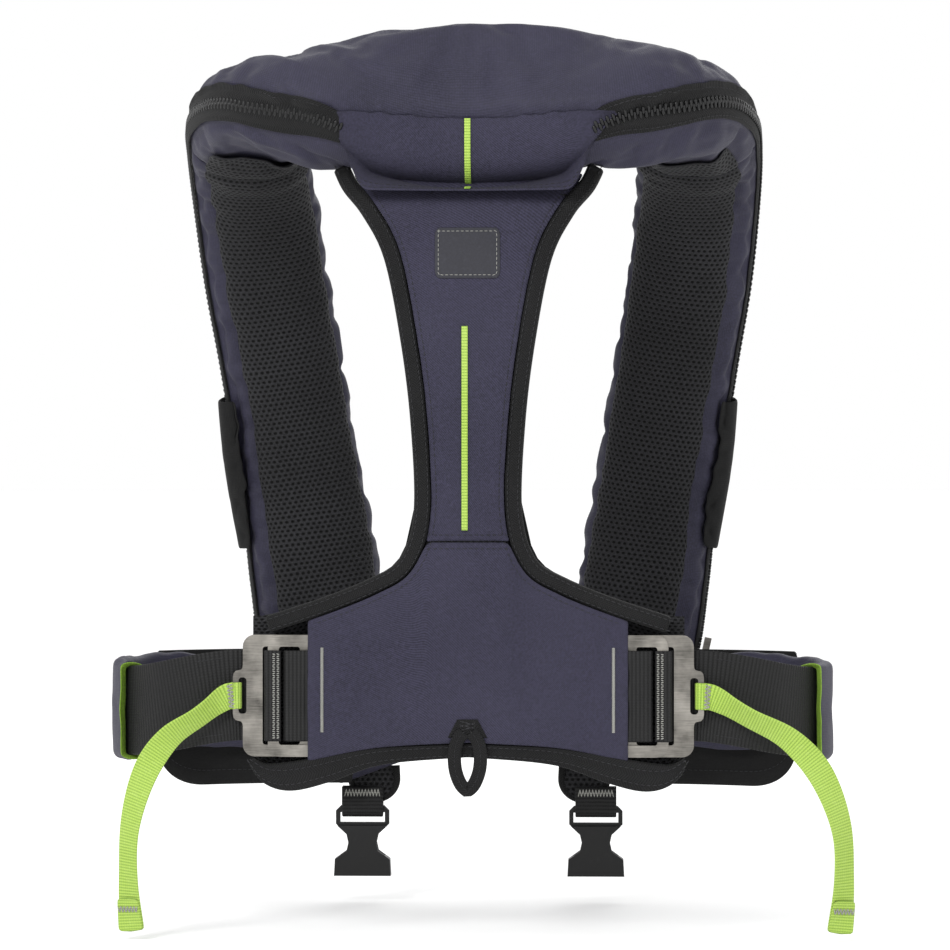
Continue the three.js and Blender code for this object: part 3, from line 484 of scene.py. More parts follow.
# ---- padded horseshoe
# From the back of the neck to the tip of the right lobe: middle of the section, direction of the
# outer edge, half width and half thickness.
HORSESHOE = [
    ((0, -80, 25), (0, -0.25, -0.97), (45, 24)),
    ((45, -80, 27), (0.05, -0.45, -0.9), (43, 26)),
    ((85, -75, 27), (0.3, -0.85, -0.4), (38, 33)),
    ((114, -58, 25), (0.62, -0.75, 0.1), (34, 28)),
    ((130, -25, 20), (0.95, -0.3, 0.1), (34, 24)),
    ((133, 15, 5), (1, 0, 0.05), (35, 22)),
    ((131, 50, -22), (1, 0, 0), (36, 22)),
    ((126, 75, -62), (1, 0, 0), (36.5, 21.5)),
    ((119, 90, -105), (1, 0, 0), (36, 21)),
    ((112, 100, -150), (1, 0, 0), (36, 21)),
    ((105, 106, -195), (1, 0, 0), (36.5, 20.5)),
    ((99, 108, -240), (1, 0, 0), (38, 20)),
    ((91, 108, -282), (1, 0, 0), (39, 18)),
    ((78, 107, -325), (1, 0, 0), (32, 14)),
    ((66, 106, -358), (1, 0, 0), (20, 4.3)),
]
LAST = len(HORSESHOE) - 1
SHOULDER = 4.5       # station where the collar meets a lobe
PER_STATION = 12     # rows of the grid to a station
AROUND = 60          # points round a row


def both_halves(k, mirror):
    right = np.array([row[k] for row in HORSESHOE], float)
    left = right[:0:-1] * mirror
    return np.vstack([left, right])


MIDDLES = both_halves(0, (-1, 1, 1))
OUTWARDS = both_halves(1, (-1, 1, 1))
SIZES = both_halves(2, (1, 1))
REACH = np.abs(np.arange(-LAST, LAST + 1))
MIDDLES[:, 0] *= 1 - 0.024 * np.exp(-(((REACH - 4.5) / 2.6) ** 2))


def frames(stations):
    t = np.asarray(stations, float) + LAST
    middle = spline(MIDDLES, t)
    along = unit(spline(MIDDLES, t + 0.01) - spline(MIDDLES, t - 0.01))
    across = spline(OUTWARDS, t)
    across = unit(across - along * np.einsum("ij,ij->i", across, along)[:, None])
    return middle, along, across, np.cross(across, along), spline(SIZES, t)


def tube(stations, angles, stand=0.0):
    """Points of the smooth section: one row per station, one column per angle."""
    middle, _, across, out, size = frames(stations)
    rounded = [np.sign(f) * np.abs(f) ** 0.85 for f in (np.cos(angles), np.sin(angles))]
    wide = rounded[0][None] * (size[:, :1] + stand)
    thick = rounded[1][None] * (size[:, 1:] + stand)
    return middle[:, None] + across[:, None] * wide[..., None] + out[:, None] * thick[..., None]


def turn_gap(angles, at):
    return np.abs((angles - radians(at) + pi) % (2 * pi) - pi)


STATIONS = np.linspace(-LAST, LAST, 2 * LAST * PER_STATION + 1)
ANGLES = np.arange(AROUND) * 2 * pi / AROUND
WALKED = lengths(frames(STATIONS)[0])
ROUND_MM = np.arange(AROUND + 1) * 190 / AROUND


def seam_field():
    """Distance in mm to the nearest seam, how strongly a place puckers, and what stays held."""
    s = np.abs(STATIONS)[:, None] * np.ones((1, AROUND))
    reach = 30 * np.ones_like(s)
    near = np.full_like(s, 60.0)

    def seam(angle, low, high):
        ends = np.maximum(np.maximum(low - s, s - high), 0) * 45
        near[:] = np.minimum(near, np.hypot(turn_gap(ANGLES, angle)[None] * reach, ends))

    for angle in (-18, 18):
        seam(angle, 2, 13)
    for angle in (-54, -162):
        seam(angle, 5, 13.4)
    seam(84, 0, 1.6)
    seam(-24, 0, 2)
    seam(180, 2.5, 4.2)
    near[:] = np.minimum(near, np.abs(s - SHOULDER) * 45 + 1.5)
    inside_mesh = (ANGLES[None] > radians(198)) & (ANGLES[None] < radians(306)) & (s > 5)
    on_zip = (turn_gap(ANGLES, 0)[None] < radians(19)) & (s > 1.9)
    on_flap = (turn_gap(ANGLES, 30)[None] < radians(55)) & (s < 2)
    return near, inside_mesh, on_zip | on_flap


def padded_tube():
    """The swollen cover: seams pulled in, cloth gathered along them, then blown up in a simulation."""
    near, inside_mesh, held = seam_field()
    base = tube(STATIONS, ANGLES, -1.0)
    normal = unit(base - frames(STATIONS)[0][:, None])
    walked = WALKED[:, None] * np.ones((1, AROUND))
    drift = rough(base, 0.02, 3) * 6
    rows = np.stack([walked + drift, np.zeros_like(walked) + ANGLES[None] * 9, np.zeros_like(walked)], -1)
    gather = rough(rows * (0.115, 0.05, 1), 1, 5) + 0.6 * rough(rows * (0.22, 0.08, 1), 1, 9)
    calm = np.where(np.abs(STATIONS)[:, None] < SHOULDER, 0.45, 1.0)
    sag = calm * (rough(base, 0.018, 1) * 1.6 + rough(base, 0.05, 2) * 0.8)
    strength = np.where(np.abs(STATIONS)[:, None] < SHOULDER, 0.6, 2.3)
    lift = sag + gather * strength * np.exp(-near / 13) - 3.0 * np.exp(-((near / 5) ** 2))
    lift = np.where(held, -0.6, np.where(inside_mesh, 0.35 * lift, lift))
    start = base + normal * lift[..., None]
    weight = np.clip(np.exp(-((near / 3.2) ** 2)), 0, 1)
    weight = np.where(held, 1.0, np.where(inside_mesh, np.maximum(weight, 0.85), weight))
    weight[[0, -1]] = 1
    return blown(start, weight, 4.5)


SIMULATION = {
    "quality": 5, "mass": 0.25, "tension_stiffness": 20, "compression_stiffness": 8, "shear_stiffness": 6,
    "bending_stiffness": 0.25, "use_pressure": True, "uniform_pressure_force": 4, "shrink_min": -0.045,
    "vertex_group_mass": "held", "pin_stiffness": 1.0,
}
FRAMES = 20


def blown(grid, weight, cap):
    """The grid after cloth simulation under pressure, with no point moved further than cap."""
    rows, columns = grid.shape[:2]
    faces = grid_faces(rows, columns, True)[0]
    obj = mesh_object("blow", (grid.reshape(-1, 3) * MM).tolist(), faces.tolist())
    group = obj.vertex_groups.new(name="held")
    levels = np.round(weight.ravel(), 2)
    for level in np.unique(levels):
        group.add(np.nonzero(levels == level)[0].tolist(), float(level), "REPLACE")
    cloth_sim = obj.modifiers.new("cloth", "CLOTH")
    settings = cloth_sim.settings
    for key, value in SIMULATION.items():
        setattr(settings, key, value)
    settings.effector_weights.gravity = 0
    cloth_sim.collision_settings.use_collision = False
    cloth_sim.collision_settings.use_self_collision = False
    for number in range(1, FRAMES + 1):
        scene.frame_set(number)
    result = obj.evaluated_get(bpy.context.evaluated_depsgraph_get())
    found = np.zeros(rows * columns * 3, np.float32)
    result.data.vertices.foreach_get("co", found)
    found = found.reshape(grid.shape).astype(float) / MM
    scene.frame_set(1)
    bpy.data.objects.remove(obj)
    move = found - grid
    size = np.linalg.norm(move, axis=-1, keepdims=True)
    return grid + move * np.minimum(1, cap / np.maximum(size, 1e-9))


PAD = padded_tube()


def pad_normals():
    along = np.gradient(PAD, axis=0)
    wrapped = np.concatenate([PAD[:, -1:], PAD, PAD[:, :1]], 1)
    around = np.gradient(wrapped, axis=1)[:, 1:-1]
    normal = unit(np.cross(around, along))
    centre = frames(STATIONS)[0][:, None]
    return normal * np.sign(np.einsum("ijk,ijk->", normal, PAD - centre))


def pillow_seam(stations):
    """The angle of the pillow's lower seam: level behind the neck, then along the zip's upper tape."""
    reach = np.abs(np.asarray(stations, float))
    tries = np.radians(np.linspace(16, 88, 73))
    points = tube(stations, tries)
    level = 19.0 + 5 * (points[:, :1, 0] / 82) ** 2
    found = np.degrees(tries)[np.abs(points[..., 2] - level).argmin(1)]
    share = ease((reach - 1.3) / 1.2)
    return between(found, 18, share)


def pillow_lip():
    """How far the pillow hangs over what is sewn under its lower seam."""
    above = np.degrees(ANGLES)[None] - pillow_seam(STATIONS)[:, None]
    fade = np.clip((SHOULDER + 0.3 - np.abs(STATIONS)) / 1.2, 0, 1)[:, None]
    swell = 4.2 * np.exp(-((above / 26) ** 2)) * (above > -1.5)
    dip = 1.0 * np.exp(-((above / 9) ** 2)) * (above <= -1.5)
    return fade * (swell - dip)


PAD_OUT = pad_normals()
PAD = PAD + PAD_OUT * pillow_lip()[..., None]


def on_pad(stations, angles, stand):
    """Points off the padded surface; angles is one row per station, in degrees."""
    angles = np.radians(np.asarray(angles, float)) % (2 * pi) * AROUND / (2 * pi)
    rows = (np.asarray(stations, float)[:, None] + LAST) * PER_STATION * np.ones_like(angles)
    i = np.clip(np.floor(rows + 1e-9).astype(int), 0, len(STATIONS) - 2)
    j = np.floor(angles + 1e-9).astype(int)
    f, g = (rows - i)[..., None], (angles - j)[..., None]

    def blend(field):
        rows = [between(field[row, j % AROUND], field[row, (j + 1) % AROUND], g) for row in (i, i + 1)]
        return between(*rows, f)

    out = unit(blend(PAD_OUT))
    return blend(PAD) + out * np.asarray(stand, float), out


def cover(name, low, high, node):
    keep = (STATIONS > low - 1e-6) & (STATIONS < high + 1e-6)
    return skin(name, PAD[keep], WALKED[keep], ROUND_MM, "navy", thickness=1.3, wrap=True, node=node)


cover("collar_pillow", -SHOULDER, SHOULDER, "collar_cover")
for label, side in SIDES:
    ends = sorted((side * SHOULDER, side * LAST))
    cover(f"lobe_pillow_{label}", *ends, f"lobe_cover_{label}")


def pad_skin(name, stations, low, high, stand, look, thickness, columns=13, **extra):
    """A layer sewn on the padding between two angles, which may change along it."""
    share = np.linspace(0, 1, columns)[None]
    low, high = (np.broadcast_to(np.asarray(a, float), (len(stations),))[:, None] for a in (low, high))
    angles = low + (high - low) * share
    edge = np.minimum(1, 4 * np.minimum(share, 1 - share))
    grid, _ = on_pad(stations, angles, (stand * (0.35 + 0.65 * edge) + thickness)[..., None])
    u = lengths(grid[:, columns // 2])
    v = lengths(grid[len(stations) // 2])
    return skin(name, grid, u, v, look, thickness=thickness, **extra)


def steps(low, high, per=PER_STATION):
    return np.linspace(low, high, max(2, int(round(abs(high - low) * per)) + 1))


def zip_angle(stations):
    """The zip leaves the outer edge near the collar flap and runs lower there."""
    reach = np.abs(stations)
    lift = np.clip((2.7 - reach) / 1.2, 0, 1) ** 1.4
    return lift * 24


for label, side in SIDES:
    run = steps(side * 3.7, side * 13.5)
    pad_skin(f"mesh_panel_{label}_knit", run, -162, -54, 1.2, "mesh", 1.4, 19,
             node=f"mesh_panel_{label}")
    zip_run = steps(side * 1.5, side * 12.5)
    middle = zip_angle(zip_run)
    pad_skin(f"zip_tape_{label}", zip_run, middle - 17, middle + 17, 0.9, "tape", 0.8, 9,
             node=f"zip_{label}")
    chain, _ = on_pad(zip_run, middle[:, None], 2.0)
    tooth_run = spaced(chain[:, 0], 1.7)
    places = np.interp(lengths(tooth_run), lengths(chain[:, 0]), zip_run)
    centre, out = on_pad(places, zip_angle(places)[:, None], 2.1)
    centre, out = centre[:, 0], out[:, 0]
    along = tangents(centre)
    lateral = unit(np.cross(along, out))
    centre = centre + lateral * alternate(len(centre)) * 1.1
    bars(f"zip_teeth_{label}", centre, lateral, out, 4.4, 2.1, "teeth", flat=0.8)
    for edge in (-13, 13):
        line, out = on_pad(zip_run, (middle + edge)[:, None], 1.7)
        stitches(f"zip_stitch_{label}_{edge + 20}", line[:, 0], out[:, 0], 3.4, 2.4, 0.45)
    tab_run = steps(side * 8.5, side * 10.5)
    bulge = 2 + 5 * np.sin(pi * (0.15 + 0.7 * (np.abs(tab_run) - 8.5) / 2))
    share = np.linspace(0, 1, 9)[None]
    angles = -36 + 54 * share * np.ones((len(tab_run), 1))
    arch = (1.8 + bulge[:, None] * np.sin(pi * np.clip(share * 0.9 + 0.1, 0, 1)))[..., None]
    tab, _ = on_pad(tab_run, angles, arch)
    skin(f"side_flap_{label}", tab, lengths(tab[:, 4]), lengths(tab[0]), "black", thickness=1.6,
         node=f"side_tab_{label}")

flap_run = steps(-1.75, 1.75, 20)
flap_x = np.abs(on_pad(flap_run, np.full((len(flap_run), 1), 40.0), 0.0)[0][:, 0, 0])
flap_high = pillow_seam(flap_run) - 3.5
flap_low = np.minimum(-10 + 40 * np.clip((flap_x - 52) / 32, 0, 1), flap_high - 2)
FLAP_STAND, FLAP_THICK = 1.0, 1.2
share = np.linspace(0, 1, 17)[None]
flap_angles = flap_low[:, None] + (flap_high - flap_low)[:, None] * share
upper, _ = on_pad(flap_run, flap_angles, FLAP_STAND + FLAP_THICK)
hem = upper[:, 0].copy()
loose = ease((70 - flap_x) / 15)
HEM_Y, HEM_Z = -111.6, -22.4
hem[:, 2] += (HEM_Z - hem[:, 2]) * loose
hem[:, 1] += (HEM_Y - hem[:, 1]) * loose
share = np.linspace(0, 1, 9)[None, :-1, None]
skirt = between(hem[:, None], upper[:, :1], share)
skirt[..., 1] -= (2.2 * np.sin(pi * share) * loose[:, None, None])[..., 0]
flap = np.concatenate([skirt, upper], 1)
middle_row = len(flap_run) // 2
skin("collar_flap_twill", flap, lengths(flap[:, 12]), lengths(flap[middle_row]), "twill",
     thickness=FLAP_THICK, node="collar_flap")
for number, inset in enumerate((1, 3)):
    line = flap[8:-8, inset] - (0, 0.25, 0)
    stitches(f"flap_hem_{number}", line, -Y, 3.2, 2.2, 0.4, slot="navy_fabric")
stripe = spaced(flap[middle_row], 1.6)
stripe = stripe + unit(np.cross(X, tangents(stripe))) * np.array([0, 0.5, 0.5])
band("collar_stripe_tape", stripe, X, 3.4, 0.7, "lime", columns=4, node="collar_stripe")

BLADDER_ROOM, BLADDER_END, FOLDS = 11.0, 10.2, 40
folded = tube(np.linspace(-BLADDER_END, BLADDER_END, 150), np.linspace(0, 2 * pi, FOLDS, endpoint=False),
              -BLADDER_ROOM)
pleats = 0.9 * np.sin(np.arange(FOLDS) * 1.6)[None, :, None] + rough(folded, 0.05, 8)[..., None] * 0.5
folded += unit(folded - folded.mean(1, keepdims=True)) * pleats
loft("folded_bladder", folded, np.arange(FOLDS + 1) * 3.5, "bladder", node="bladder", levels=1)


# ---- yoke
BELT_Z = -300
PLATE_Y = -96.5
WEB_BACK_Y = -100.9
WEB_FRONT_Y = -92.05
FACE_Y = -103.3
SEAM_Z = -215
POCKET_X = 88
EDGE = smooth([(75, -10), (69, -22), (58, -36), (46, -60), (37, -105), (31.5, -150), (29.7, -198), (37, -224),
               (53, -235), (80, -246), (112, -256.5)], 90)
BINDING = 9.3
HEM_TOP = smooth([(0, -325.7), (50, -328.6), (88, -336), (108, -338.5), (118, -335)], 40)
HEM_FOOT = smooth([(0, -333.5), (50, -337.5), (80, -347), (101, -351.5), (114, -347), (121, -336)], 50)


def at_y(points, y):
    """Points (x, z) set at a depth."""
    return np.insert(np.asarray(points, float), 1, y, axis=1)


def tuck(z):
    """The top of the yoke turns in under the collar."""
    return 14 * np.clip((np.asarray(z, float) + 31) / 17, 0, 1) ** 1.15


def half_width(z):
    line = offset(EDGE, -BINDING)
    upper = line[line[:, 1] > SEAM_Z - 12]
    return np.interp(-np.asarray(z, float), -upper[:, 1], upper[:, 0])


def face_depth(x, z):
    """How far the yoke's fabric stands out, in mm: a soft crown, pulled in at its seams."""
    points = np.stack([np.asarray(x, float), np.zeros_like(x, float), np.asarray(z, float)], -1)
    inside = np.where(z > SEAM_Z, half_width(np.maximum(z, SEAM_Z)), POCKET_X)
    share = np.clip(np.abs(x) / inside, 0, 1)
    crown = 1.3 * (1 - share**4)
    seam = 1.6 * np.exp(-((np.asarray(z) - SEAM_Z) / 4) ** 2)
    edge = np.exp(-(inside - np.abs(x)) / 7)
    gather = rough(points * (0.03, 1, 0.11), 1, 4) * 0.9 * edge
    return crown - seam + rough(points, 0.022, 6) * 0.8 + gather


def on_yoke(xs, zs, lift=0.0):
    """Points that stand off the yoke's fabric."""
    return np.stack([xs, FACE_Y - face_depth(xs, zs) + tuck(zs) - lift, zs], -1)


def yoke_face(name, xs, zs, node):
    rows, columns = xs.shape
    skin(name, on_yoke(xs, zs), zs[:, columns // 2], xs[rows // 2], "twill", thickness=1.3, node=node)


zs = np.linspace(-12, SEAM_Z, 76)[:, None] * np.ones((1, 25))
xs = np.linspace(-1, 1, 25)[None] * half_width(zs[:, :1])
yoke_face("yoke_back_upper", xs, zs, "yoke_face_upper")
base_x = np.linspace(-POCKET_X, POCKET_X, 65)
inner_edge = offset(EDGE, -BINDING)
flare = inner_edge[inner_edge[:, 1] < SEAM_Z - 1]
seam_x = float(half_width(SEAM_Z))
wings = np.interp(np.abs(base_x), flare[:, 0], flare[:, 1])
base_top = np.minimum(np.where(np.abs(base_x) < seam_x, SEAM_Z, wings), SEAM_Z - 0.3)
base_foot = np.interp(np.abs(base_x), HEM_TOP[:, 0], HEM_TOP[:, 1]) + 0.3
share = np.linspace(0, 1, 44)[:, None]
yoke_face("yoke_back_base", base_x[None] * np.ones_like(share), between(base_top, base_foot, share),
          "yoke_face_base")


def cushion(name, xs, zs, y_low, y_high, node, dimple):
    """A padded panel between two depths, thin at its edges."""
    rows, columns = xs.shape
    i = np.linspace(-1, 1, rows)[:, None]
    j = np.linspace(-1, 1, columns)[None]
    full = ((1 - np.abs(i) ** 8) * (1 - np.abs(j) ** 8)) ** 0.4
    middle, half = (y_low + y_high) / 2, (y_high - y_low) / 2
    puff = half * (0.35 + 0.65 * full) + dimple * rough(np.stack([xs, zs * 0, zs], -1), 0.06, 7) * full
    near = np.stack([xs, middle - puff, zs], -1)
    far = np.stack([xs, middle + puff, zs], -1)
    rings = np.concatenate([near, far[:, ::-1]], 1)
    across = np.concatenate([xs[rows // 2], xs[rows // 2, ::-1] + 400, xs[rows // 2, :1]])
    obj = loft(name, rings, across, "mesh", u=zs[:, columns // 2], node=node)
    return obj


pad_z = np.concatenate([np.linspace(-24.5, -215, 50), np.linspace(-219, -262, 14)])
pad_half = np.where(pad_z > -222, half_width(pad_z), 0)
lower = inner_edge[inner_edge[:, 1] < SEAM_Z]
pad_wings = np.minimum(np.interp(-pad_z, -lower[:, 1], lower[:, 0]), POCKET_X)
pad_half = np.where(pad_z <= -219, pad_wings, pad_half)
pad_x = np.linspace(-1, 1, 23)[None] * pad_half[:, None]
cushion("yoke_pad_upper_knit", pad_x, pad_z[:, None] * np.ones((1, 23)), -101.4, -91.8, "yoke_pad_upper", 0.8)
cols = np.linspace(-119, 119, 61)
FLARE = EDGE[int(np.argmin(EDGE[:, 0])):]
top = np.interp(np.abs(cols), FLARE[:, 0], FLARE[:, 1])
foot = np.interp(np.abs(cols), HEM_FOOT[:44, 0], HEM_FOOT[:44, 1])
share = np.linspace(0, 1, 32)[:, None]
cushion("yoke_pad_base_knit", cols[None] * np.ones_like(share), between(top, foot, share), -90.9, -86.0,
        "yoke_pad_base", 0.5)

for label, side in SIDES:
    flip = np.array([side, 1])
    centre = spaced(offset(EDGE, -4.6), 3) * flip
    path = at_y(centre, -97.4)
    path[:, 1] += tuck(path[:, 2])
    band(f"yoke_binding_{label}_tape", path, np.cross(tangents(path), Y), 9.4, 12.6, "tape", radius=2.6,
         columns=6, levels=1, node=f"yoke_binding_{label}")
    for inset, name in ((-2.0, "outer"), (-7.6, "inner")):
        row = at_y(spaced(offset(EDGE, inset), 2) * flip, -103.9)
        row[:, 1] += tuck(row[:, 2])
        stitches(f"binding_stitch_{label}_{name}", row, -Y)
    under = on_yoke(*(spaced(offset(EDGE, -12.2), 2)[:-14] * flip).T, 0.1)
    stitches(f"face_stitch_{label}", under, -Y, 3.3, 2.3, 0.4, slot="navy_fabric")


def both_sides(points, count=110):
    """A line from the middle outwards, with its mirror image, as evenly spaced points."""
    line = np.vstack([points[::-1] * (-1, 1), points[1:]])
    walked = lengths(line) / lengths(line)[-1]
    return np.stack([np.interp(np.linspace(0, 1, count), walked, line[:, k]) for k in range(2)], 1)


upper, lower = both_sides(HEM_TOP), both_sides(HEM_FOOT)
middle = (upper + lower) / 2
half = np.linalg.norm(upper - lower, axis=1) / 2
ring, v = section(1, 12.4, 0.45, 6)
hem_rings = []
for m, h, t in zip(at_y(middle, -97.4), half, tangents(at_y(middle, -97.4))):
    out = np.cross(t, Y)
    hem_rings.append([m + out * p[0] * 2 * h + Y * p[1] for p in ring])
loft("yoke_hem_tape", np.array(hem_rings), np.concatenate([ring[:, 0] * 10, ring[:1, 0] * 10]), "tape",
     levels=1, node="yoke_binding_bottom")
for share, name in ((0.22, "upper"), (0.8, "lower")):
    stitches(f"hem_stitch_{name}", at_y(between(upper, lower, share), -103.8), -Y)
for shift, name in ((3.5, "upper"), (-4, "lower")):
    xs = np.linspace(-seam_x + 2, seam_x - 2, 40)
    seam = on_yoke(xs, np.full(40, SEAM_Z + shift), 0.1)
    stitches(f"waist_seam_{name}", seam, -Y, 3.2, 2.2, 0.4, slot="navy_fabric")


def on_face(x, zs, lift):
    return on_yoke(np.full(len(zs), float(x)), zs, lift)


band("yoke_stripe_tape", on_face(-1.6, np.linspace(-97, -209, 70), 0.45), X, 3.4, 0.9, "lime", columns=4,
     node="yoke_stripe")
patch_x, patch_z = np.meshgrid(np.linspace(-18, 18, 19), np.linspace(-43, -71, 15))
inset = 1 - 0.035 * np.clip(np.abs(patch_z + 57) - 11, 0, 9) ** 1.6 / 2
patch_x = patch_x * inset
patch = on_yoke(patch_x, patch_z, 0.6)
skin("blank_back_patch", patch, patch_z[:, 0], patch_x[7], "patch", thickness=0.6, node="blank_patch")
border = np.vstack([patch[1, 1:-1], patch[2:-2, -2], patch[-2, -2:0:-1], patch[-3:1:-1, 1], patch[1, 1:2]])
stitches("patch_stitch", border - Y * 0.2, -Y, 2.6, 1.8, 0.35, "thread")


def zigzag(name, top, foot, width, out, across, count, look="thread", thick=0.55, body="jacket"):
    """A dense bar tack between two points."""
    top, foot, out, across = (np.asarray(place, float) for place in (top, foot, out, across))
    marks = np.linspace(0, 1, count)[:, None]
    along = unit(across + 0.25 * alternate(count) * unit(foot - top))
    bars(name, between(top, foot, marks), along, np.broadcast_to(out, along.shape), width, thick, look,
         slot="grey_trim", body=body)


for label, side in SIDES:
    line = on_face(side * 79.9, np.linspace(-273.5, -319.5, 93), 0.45)
    bars(f"pocket_bartack_{label}", line, np.tile(X, (93, 1)), np.tile(-Y, (93, 1)), 1.8, 0.45, "thread", 0.8,
         node=f"bartack_{label}")

# ---- tape loop at the yoke's foot
anchor = spaced(at_y([(0, -312.5), (0, -322.5)], -104.7), 1.5)
band("loop_anchor_tape", anchor, X, 15, 1.2, "tape", columns=6, node="loop_anchor",
     taper=np.linspace(0.75, 1.45, len(anchor)))
zigzag("loop_anchor_tack", (0, -105.4, -314.5), (0, -105.4, -317.5), 9, -Y, X, 4, "dark_thread")
half_loop = smooth([(2.2, -319.6), (5.4, -324), (7.1, -331), (6.6, -340), (3.9, -347.5), (0.3, -351.6)], 26)
whole_loop = np.vstack([half_loop * (-1, 1), half_loop[-2::-1]])
loop_path = at_y(spaced(whole_loop, 1.4), -105.7)
loop_path[:, 1] -= 0.4 * np.sin(np.linspace(0, pi, len(loop_path)))
band("back_tape_loop", loop_path, np.cross(tangents(loop_path), Y), 7.4, 2.0, "tape", columns=5,
     body="tape_loop", node="back_loop")
stitches("back_loop_stitch", loop_path - Y * 1.25, -Y, 2.8, 1.9, 0.35, body="tape_loop")

# ---- belt, adjusters and straps
def rounded_path(corners, radius, steps=6):
    corners = np.asarray(corners, float)
    path = [corners[0]]
    for before, corner, after in zip(corners, corners[1:], corners[2:]):
        start = corner + unit(before - corner) * radius
        end = corner + unit(after - corner) * radius
        for t in np.linspace(0, 1, steps):
            path.append((1 - t) ** 2 * start + 2 * t * (1 - t) * corner + t**2 * end)
    path.append(corners[-1])
    return np.array(path)


def at_z(points, z):
    """Points (x, y) set at a height."""
    return np.insert(np.asarray(points, float), 2, z, axis=1)


def straight(points, step=3.0):
    """More points on the straight stretches, with the bends kept as they are."""
    made = [points[0]]
    for a, b in zip(points, points[1:]):
        count = max(1, int(np.linalg.norm(b - a) / step))
        made += [a + (b - a) * k / count for k in range(1, count + 1)]
    return np.array(made)


back = rounded_path([(-74, WEB_BACK_Y), (-100.6, WEB_BACK_Y), (-100.6, WEB_FRONT_Y), (100.6, WEB_FRONT_Y),
                     (100.6, WEB_BACK_Y), (74, WEB_BACK_Y)], 2.0)
band("belt_back_web", at_z(straight(back), BELT_Z), Z, 50, 1.7, "web", columns=12,
     node="belt_back")
WAIST = smooth([(128, WEB_FRONT_Y), (150, -90), (176, -77), (194, -50), (200.5, -12), (194, 24), (171, 51),
                (135, 68), (100, 74.5), (60, 76), (12, 76)], 130)
FOLD_X = (110 + 113.1) / 2 - 0.2     # the belt turns back in the adjuster's first slot
fold = rounded_path([(102.8, WEB_BACK_Y), (FOLD_X, WEB_BACK_Y), (FOLD_X, WEB_FRONT_Y), (124, WEB_FRONT_Y)],
                    2.0)


def belt_z(points):
    return BELT_Z - 11 * np.where(points[:, 1] > 0, 1, ease((points[:, 0] - 124) / 76))


def on_belt(line):
    """A line in plan at the belt's height, the direction that it faces and its distances."""
    path = at_z(line, belt_z(line))
    return path, np.cross(tangents(path), Z), lengths(path)


TACK_ENDS = (BELT_Z + 23, BELT_Z - 23)
side_plan = np.vstack([straight(fold, 1.5), spaced(WAIST, 3)])
for label, side in SIDES:
    flip = np.array([side, 1, 1])
    path = at_z(side_plan, belt_z(side_plan)) * flip
    band(f"belt_{label}_web", path, Z, 50, 1.7, "web", columns=12, node=f"belt_{label}")
    for x, name in ((104.3, "outer"), (106.6, "inner")):
        top, foot = ((side * x, WEB_BACK_Y - 1.0, z) for z in TACK_ENDS)
        zigzag(f"fold_tack_{label}_{name}", top, foot, 1.5, -Y, X, 40, thick=0.6)
    for x, name in ((77, "outer"), (75, "inner")):
        ends = [(side * x, WEB_BACK_Y - 0.95, z) for z in TACK_ENDS]
        stitches(f"tail_stitch_{label}_{name}", ends, -Y, 2.6, 1.9, 0.45, slot="grey_trim")
    start = spaced(WAIST, 3)[3:8]
    tack = at_z(start, belt_z(start)) * flip
    out = unit(np.cross(tangents(tack), Z) * side)
    for row, shift in enumerate((-21, 0, 21)):
        stitches(f"web_stitch_{label}_{row}", tack + Z * shift + out, out, 2.6, 1.9, 0.45, slot="grey_trim")

